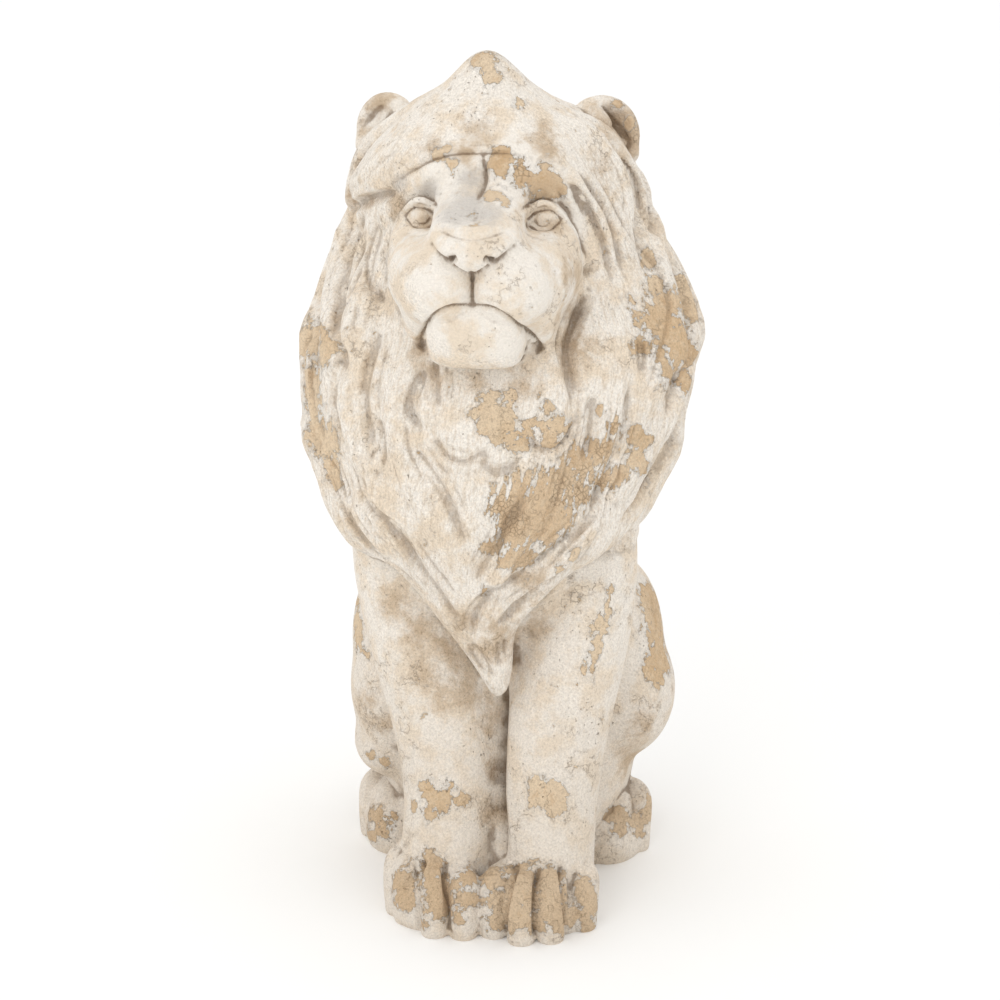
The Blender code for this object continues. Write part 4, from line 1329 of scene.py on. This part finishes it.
class Signal:
    """A node's output. Arithmetic on it adds nodes."""

    def __init__(self, graph: "Graph", socket: bpy.types.NodeSocket) -> None:
        """Keeps the graph and the socket."""
        self.graph = graph
        self.socket = socket

    def math(self, operation: str, first: "Signal | float", second: "Signal | float") -> "Signal":
        """A Math node.

        Args:
            operation: Its operation.
            first: Its first value.
            second: Its second value.

        Returns:
            Its output.
        """
        return self.graph.node("ShaderNodeMath", {"operation": operation}, {0: first, 1: second})

    def __add__(self, other: "Signal | float") -> "Signal":
        """The sum."""
        return self.math("ADD", self, other)

    def __radd__(self, other: float) -> "Signal":
        """The sum, with a number first."""
        return self.math("ADD", other, self)

    def __sub__(self, other: "Signal | float") -> "Signal":
        """The difference."""
        return self.math("SUBTRACT", self, other)

    def __rsub__(self, other: float) -> "Signal":
        """The difference, with a number first."""
        return self.math("SUBTRACT", other, self)

    def __mul__(self, other: "Signal | float") -> "Signal":
        """The product."""
        return self.math("MULTIPLY", self, other)

    def __rmul__(self, other: float) -> "Signal":
        """The product, with a number first."""
        return self.math("MULTIPLY", other, self)

    def most(self, other: "Signal | float") -> "Signal":
        """The larger of the two."""
        return self.math("MAXIMUM", self, other)

    def apart(self, value: float) -> "Signal":
        """How far it is from a value."""
        return self.graph.node("ShaderNodeMath", {"operation": "ABSOLUTE"}, {0: self - value})

    def rise(self, low: float, high: float) -> "Signal":
        """A soft step from 0 at low to 1 at high."""
        values = {0: self, 1: low, 2: high}
        return self.graph.node("ShaderNodeMapRange", {"interpolation_type": "SMOOTHSTEP"}, values)


class Graph:
    """A material's nodes."""

    def __init__(self, name: str) -> None:
        """Makes a material that has only its shader.

        Args:
            name: Its name.
        """
        self.material = bpy.data.materials.new(name)
        self.material.use_nodes = True
        self.tree = self.material.node_tree
        self.shader = self.tree.nodes["Principled BSDF"]
        self.place = self.node("ShaderNodeTexCoord", {}, {}, "Object")

    def node(self, kind: str, settings: dict, values: dict, output: int | str = 0) -> Signal:
        """Adds a node.

        Args:
            kind: Its type.
            settings: Its properties.
            values: Its inputs by index or name, each a signal, a number or a colour.
            output: Which output to return.

        Returns:
            The output.
        """
        node = self.tree.nodes.new(kind)
        for name, value in settings.items():
            setattr(node, name, value)
        for key, value in values.items():
            self.feed(node.inputs[key], value)
        return Signal(self, node.outputs[output])

    def feed(self, socket: bpy.types.NodeSocket, value: "Signal | float | tuple") -> None:
        """Links a signal to an input, or sets its value.

        Args:
            socket: The input.
            value: A signal, a number or a colour.
        """
        if isinstance(value, Signal):
            self.tree.links.new(value.socket, socket)
        elif isinstance(value, tuple) and socket.type == "RGBA":
            socket.default_value = (*value, 1.0)
        else:
            socket.default_value = value

    def noise(self, scale: float, detail: float, roughness: float, place: Signal | None = None) -> Signal:
        """Soft noise from 0 to 1.

        Args:
            scale: Waves to the metre.
            detail: Octaves.
            roughness: How strong the fine octaves are.
            place: Where it is read; the object's coordinates if not given.

        Returns:
            The noise.
        """
        values = {"Vector": place or self.place, "Scale": scale, "Detail": detail, "Roughness": roughness}
        return self.node("ShaderNodeTexNoise", {}, values)

    def cells(self, scale: float) -> Signal:
        """Distance to the nearest edge in a pattern of cells, so many to the metre."""
        values = {"Vector": self.place, "Scale": scale}
        return self.node("ShaderNodeTexVoronoi", {"feature": "DISTANCE_TO_EDGE"}, values, "Distance")

    def painted(self, name: str, output: str = "Fac") -> Signal:
        """A value stored on the mesh."""
        return self.node("ShaderNodeAttribute", {"attribute_name": name}, {}, output)

    def blend(self, share: "Signal | float", first: "Signal | Colour", second: "Signal | Colour") -> Signal:
        """A mix of two colours, the second at share 1."""
        return self.node("ShaderNodeMix", {"data_type": "RGBA"}, {0: share, 6: first, 7: second}, 2)


@dataclass(frozen=True)
class Patterns:
    """The noises and masks that the ceramic's colours and relief share, each from 0 to 1."""

    broad: Signal
    middle: Signal
    fine: Signal
    grain: Signal
    strand: Signal
    thread: Signal
    fur: Signal
    rough: Signal
    height: Signal
    bare: Signal
    rim: Signal
    brown: Signal
    stain_and_shade: Signal
    pits: Signal
    cracks: Signal
    crackle: Signal


@dataclass(frozen=True)
class WeatheredCeramic:
    """A chalky cream coat that flakes off a tan body, with dirt and painted shade in the hollows. Heights are
    metres.
    """

    cream: Colour = shade(241, 234, 224)
    warm: Colour = shade(233, 218, 198)
    pale: Colour = shade(248, 244, 238)
    # painted shade: the coat's colour towards the ground, where the legs lie in shade
    low: Colour = shade(210, 197, 181)
    streak: Colour = shade(208, 192, 171)
    # stains, and painted shade where the stain marks lie in shade
    stain_and_shade: Colour = shade(194, 171, 143)
    # painted grey shade beside the bridge of the nose
    bridge: Colour = shade(203, 197, 190)
    tan: Colour = shade(207, 180, 146)
    tan_pale: Colour = shade(221, 200, 172)
    brown: Colour = shade(193, 159, 119)
    toe_tan: Colour = shade(193, 169, 140)
    # dirt, and painted shade in the hollows
    dirt_and_shade: Colour = shade(142, 120, 97)
    # pits, and painted shade in the deepest hollows
    pit_and_shade: Colour = shade(112, 90, 68)
    coat: float = 0.0008
    tooth: float = 0.0018
    grain: float = 0.0010
    hair: float = 0.0009
    lumps: float = 0.0022
    matt: float = 0.80
    bare_matt: float = 0.12
    sheen: float = 0.18

    def build(self) -> bpy.types.Material:
        """The material.

        Returns:
            Its data block.
        """
        g = Graph("weathered_ceramic")
        p = self.patterns(g)
        colour = self.soiled_and_shaded(g, p, g.blend(p.bare, self.coated(g, p), self.flaked(g, p)))
        bump = g.node("ShaderNodeBump", {}, {"Strength": 1.0, "Distance": 1.0, "Height": self.relief(p)})
        g.feed(g.shader.inputs["Base Color"], colour)
        g.feed(g.shader.inputs["Roughness"], self.matt + p.bare * self.bare_matt)
        g.feed(g.shader.inputs["Normal"], bump)
        g.shader.inputs["Specular IOR Level"].default_value = self.sheen
        return g.material

    def patterns(self, g: Graph) -> Patterns:
        """Noises from broad to fine, strands along the hair, and the masks made of them.

        Args:
            g: The graph.

        Returns:
            The patterns.
        """
        middle = g.noise(34, 5, 0.6)
        fine = g.noise(130, 6, 0.7)
        flow = g.painted("flow", "Vector")
        strand = g.noise(300, 4, 0.6, flow)
        fur = g.painted("fur")
        bare, rim = self.flaking(g, middle, fine, strand)
        scratch = 1.0 - g.noise(26, 5, 0.65).apart(0.5).rise(0.0, 0.010)
        brown = (g.painted("brown") + (strand - 0.5) * 1.4 * fur + (fine - 0.5) * 1.2).rise(-0.05, 0.75)
        crackle = 1.0 - g.cells(250).rise(0.02, 0.10)
        return Patterns(
            broad=g.noise(9, 3, 0.5),
            middle=middle,
            fine=fine,
            grain=g.noise(560, 4, 0.7),
            strand=strand,
            thread=g.noise(900, 3, 0.6, flow),
            fur=fur,
            rough=fur.rise(0.02, 0.26),
            height=g.node("ShaderNodeSeparateXYZ", {}, {0: g.place}, 2),
            bare=bare,
            rim=rim,
            brown=brown,
            stain_and_shade=(g.painted("stain_and_shade") * 0.8 + (middle - 0.5) * 1.8 + (fine - 0.5) * 1.6).rise(-0.15, 0.85),
            pits=g.noise(380, 3, 0.5).rise(0.66, 0.71) * g.noise(26, 3, 0.5).rise(0.50, 0.62),
            cracks=scratch * g.noise(17, 3, 0.6).rise(0.50, 0.60),
            crackle=crackle * brown * bare * g.noise(30, 3, 0.5).rise(0.46, 0.58),
        )

    def coated(self, g: Graph, p: Patterns) -> Signal:
        """The coat: cream and warm cream, painted shade darker towards the ground, painted grey shade on the
        nose, streaked along the hair, with stains and painted shade from the stain marks.

        Args:
            g: The graph.
            p: The patterns.

        Returns:
            The colour.
        """
        coat = g.blend(p.middle.rise(0.42, 0.62), self.cream, self.warm)
        # painted shade: the coat darker towards the ground
        coat = g.blend((1.0 - p.height.rise(0.04, 0.36)) * 0.50, coat, self.low)
        # painted grey shade beside the bridge of the nose and round the lion's right eye
        coat = g.blend((g.painted("painted_grey_shade") + (p.fine - 0.5) * 1.2).rise(-0.1, 0.8) * 0.75, coat, self.bridge)
        coat = g.blend(p.strand.rise(0.50, 0.60) * p.fur * 0.34, coat, self.streak)
        coat = g.blend(p.thread.rise(0.50, 0.60) * p.fur * 0.26, coat, self.stain_and_shade)
        # the stain marks: stains, and painted shade under the chin, under the bib and between the forelegs
        coat = g.blend(p.stain_and_shade * 0.8, coat, self.stain_and_shade)
        coat = g.blend(p.fine.rise(0.58, 0.72) * (0.35 - p.fur * 0.10), coat, self.stain_and_shade)
        return g.blend(p.rim * 0.45, coat, self.pale)

    def flaked(self, g: Graph, p: Patterns) -> Signal:
        """The body where the coat is gone: mottled tan, browner on the marked locks, duller on the toes.

        Args:
            g: The graph.
            p: The patterns.

        Returns:
            The colour.
        """
        under = g.blend(p.broad.rise(0.42, 0.58), self.tan, self.tan_pale)
        under = g.blend(p.brown * 0.45, under, self.brown)
        under = g.blend(p.fine.rise(0.48, 0.64) * 0.55, under, self.tan_pale)
        under = g.blend(g.noise(95, 5, 0.7).rise(0.54, 0.66) * 0.45, under, self.brown)
        under = g.blend((1.0 - p.height.rise(0.05, 0.15)) * 0.6, under, self.toe_tan)
        return g.blend(p.crackle * 0.55, under, self.dirt_and_shade)

    def soiled_and_shaded(self, g: Graph, p: Patterns, clean: Signal) -> Signal:
        """Dirt and painted shade in the hollows, dirt in the cracks, pits and pores, and a fine grain over
        all.

        Args:
            g: The graph.
            p: The patterns.
            clean: The colour without dirt.

        Returns:
            The colour.
        """
        depth = g.painted("hollow")
        hollow = (depth + (p.fine - 0.5) * 0.8).rise(0.22, 1.15)
        deep = (depth + (p.fine - 0.5) * 0.5).rise(0.62, 1.15)
        pores = g.noise(430, 4, 0.7).rise(0.55, 0.66) * p.rough * (0.12 + p.stain_and_shade * 0.5 + p.bare * 0.20)
        # dirt and painted shade: darker the deeper the hollow
        colour = g.blend(hollow * (0.60 - p.fur * 0.38), clean, self.dirt_and_shade)
        # painted shade and dirt at their darkest in the deepest hollows, such as the nostrils and the mouth
        # line
        colour = g.blend(deep * (0.6 - p.fur * 0.35), colour, self.pit_and_shade)
        colour = g.blend(p.cracks * (0.40 - p.bare * 0.25), colour, self.dirt_and_shade)
        colour = g.blend(p.pits * 0.6, colour, self.pit_and_shade)
        colour = g.blend(pores, colour, self.dirt_and_shade)
        speckle = 1.0 + (p.grain - 0.5) * (0.45 + p.rough * 0.50)
        return g.node("ShaderNodeVectorMath", {"operation": "SCALE"}, {0: colour, "Scale": speckle})

    def relief(self, p: Patterns) -> Signal:
        """The height of the surface's tooth, grain, hair, lumps, flaked edges, pits and cracks.

        Args:
            p: The patterns.

        Returns:
            The height in metres.
        """
        relief = p.fine * self.tooth + p.grain * self.grain - p.bare * self.coat - p.pits * self.tooth * 0.6
        relief = relief - p.cracks * self.tooth * 0.3 + p.rim * self.coat * 0.3
        relief = relief + (p.strand + p.thread * 0.4) * p.fur * self.hair
        relief = relief + p.middle * (1.0 - p.fur) * self.lumps
        return relief - p.crackle * self.coat * 0.5

    @staticmethod
    def flaking(g: Graph, middle: Signal, fine: Signal, strand: Signal) -> tuple[Signal, Signal]:
        """Where the coat is gone.

        Args:
            g: The graph.
            middle: Noise for the ragged outline.
            fine: Noise for the small tears.
            strand: Noise that runs along the hair.

        Returns:
            The bare share, and the pale lifted rim of the coat round it.
        """
        ragged = (middle - 0.5) * 2.0 + (fine - 0.5) * 2.4
        marked = g.painted("bare") + ragged
        locks = g.painted("brown") + ragged * 0.8 + (strand - 0.5) * 2.0 * g.painted("fur")
        behind = (g.noise(13, 5, 0.6) - 0.60) * 7.0 + ragged * 0.5 + (g.painted("behind") - 1.0) * 0.9
        fleck = (g.noise(70, 6, 0.7) - 0.64) * 9.0
        torn = marked.most(locks).most(behind).most(fleck)
        bare = torn.rise(0.20, 0.32)
        return bare, torn.rise(0.02, 0.22) - bare


@dataclass
class Studio:
    """The floor, the light and the camera."""

    view: View = field(default_factory=View)
    floor_half: float = 12.0
    floor_colour: Colour = shade(250, 250, 249)
    world_strength: float = 1.07
    key_place: Place = (-0.7, -2.1, 2.0)
    key_size: float = 1.2
    key_power: float = 9.0
    key_colour: Place = (1.0, 0.985, 0.965)
    lit: Place = (0.0, 0.0, 0.40)

    def floor(self) -> None:
        """A plain pale floor."""
        bpy.ops.object.select_all(action="DESELECT")
        bpy.ops.mesh.primitive_plane_add(size=2 * self.floor_half, location=(0, 0, 0))
        floor = bpy.context.object
        floor.name = "studio_floor"
        graph = Graph("studio_floor")
        graph.shader.inputs["Base Color"].default_value = (*self.floor_colour, 1)
        graph.shader.inputs["Roughness"].default_value = 0.9
        graph.shader.inputs["Specular IOR Level"].default_value = 0.1
        floor.data.materials.append(graph.material)

    def key(self) -> None:
        """A soft square light that faces the statue."""
        data = bpy.data.lights.new("key", "AREA")
        data.size = self.key_size
        data.energy = self.key_power
        data.color = self.key_colour
        lamp = bpy.data.objects.new("key", data)
        bpy.context.scene.collection.objects.link(lamp)
        lamp.location = self.key_place
        lamp.rotation_euler = (Vector(self.lit) - Vector(self.key_place)).to_track_quat("-Z", "Y").to_euler()

    def build(self, stand: Stand) -> None:
        """Makes floor, light, world and camera.

        Args:
            stand: How the statue was set down, which sets the camera's place.
        """
        self.floor()
        self.key()
        world = bpy.data.worlds.new("studio")
        bpy.context.scene.world = world
        world.use_nodes = True
        background = world.node_tree.nodes["Background"]
        background.inputs["Color"].default_value = (1.0, 1.0, 1.0, 1)
        background.inputs["Strength"].default_value = self.world_strength
        aim, _, _, back = self.view.frame(stand)
        data = bpy.data.cameras.new("camera")
        data.lens = self.view.lens
        camera = bpy.data.objects.new("camera", data)
        bpy.context.scene.collection.objects.link(camera)
        camera.location = aim + back * self.view.distance * stand.scale
        camera.rotation_mode = "QUATERNION"
        camera.rotation_quaternion = (-back).to_track_quat("-Z", "Y")
        bpy.context.scene.camera = camera
        bpy.context.scene.view_settings.view_transform = "Standard"


def main() -> None:
    """Builds the statue and the studio, and reports each piece."""
    logging.basicConfig(level=logging.INFO, format="%(message)s")
    statue = LionStatue()
    casting = statue.build()
    Weathering().apply(casting, statue.mane, statue.stand)
    casting.obj.data.materials.clear()
    casting.obj.data.materials.append(WeatheredCeramic().build())
    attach(casting.obj, "root")
    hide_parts(STATUE_NODE)
    log.info("%s: %d triangles", casting.obj.name, len(casting.obj.data.polygons))
    Studio().build(statue.stand)


if __name__ == "__main__":
    main()
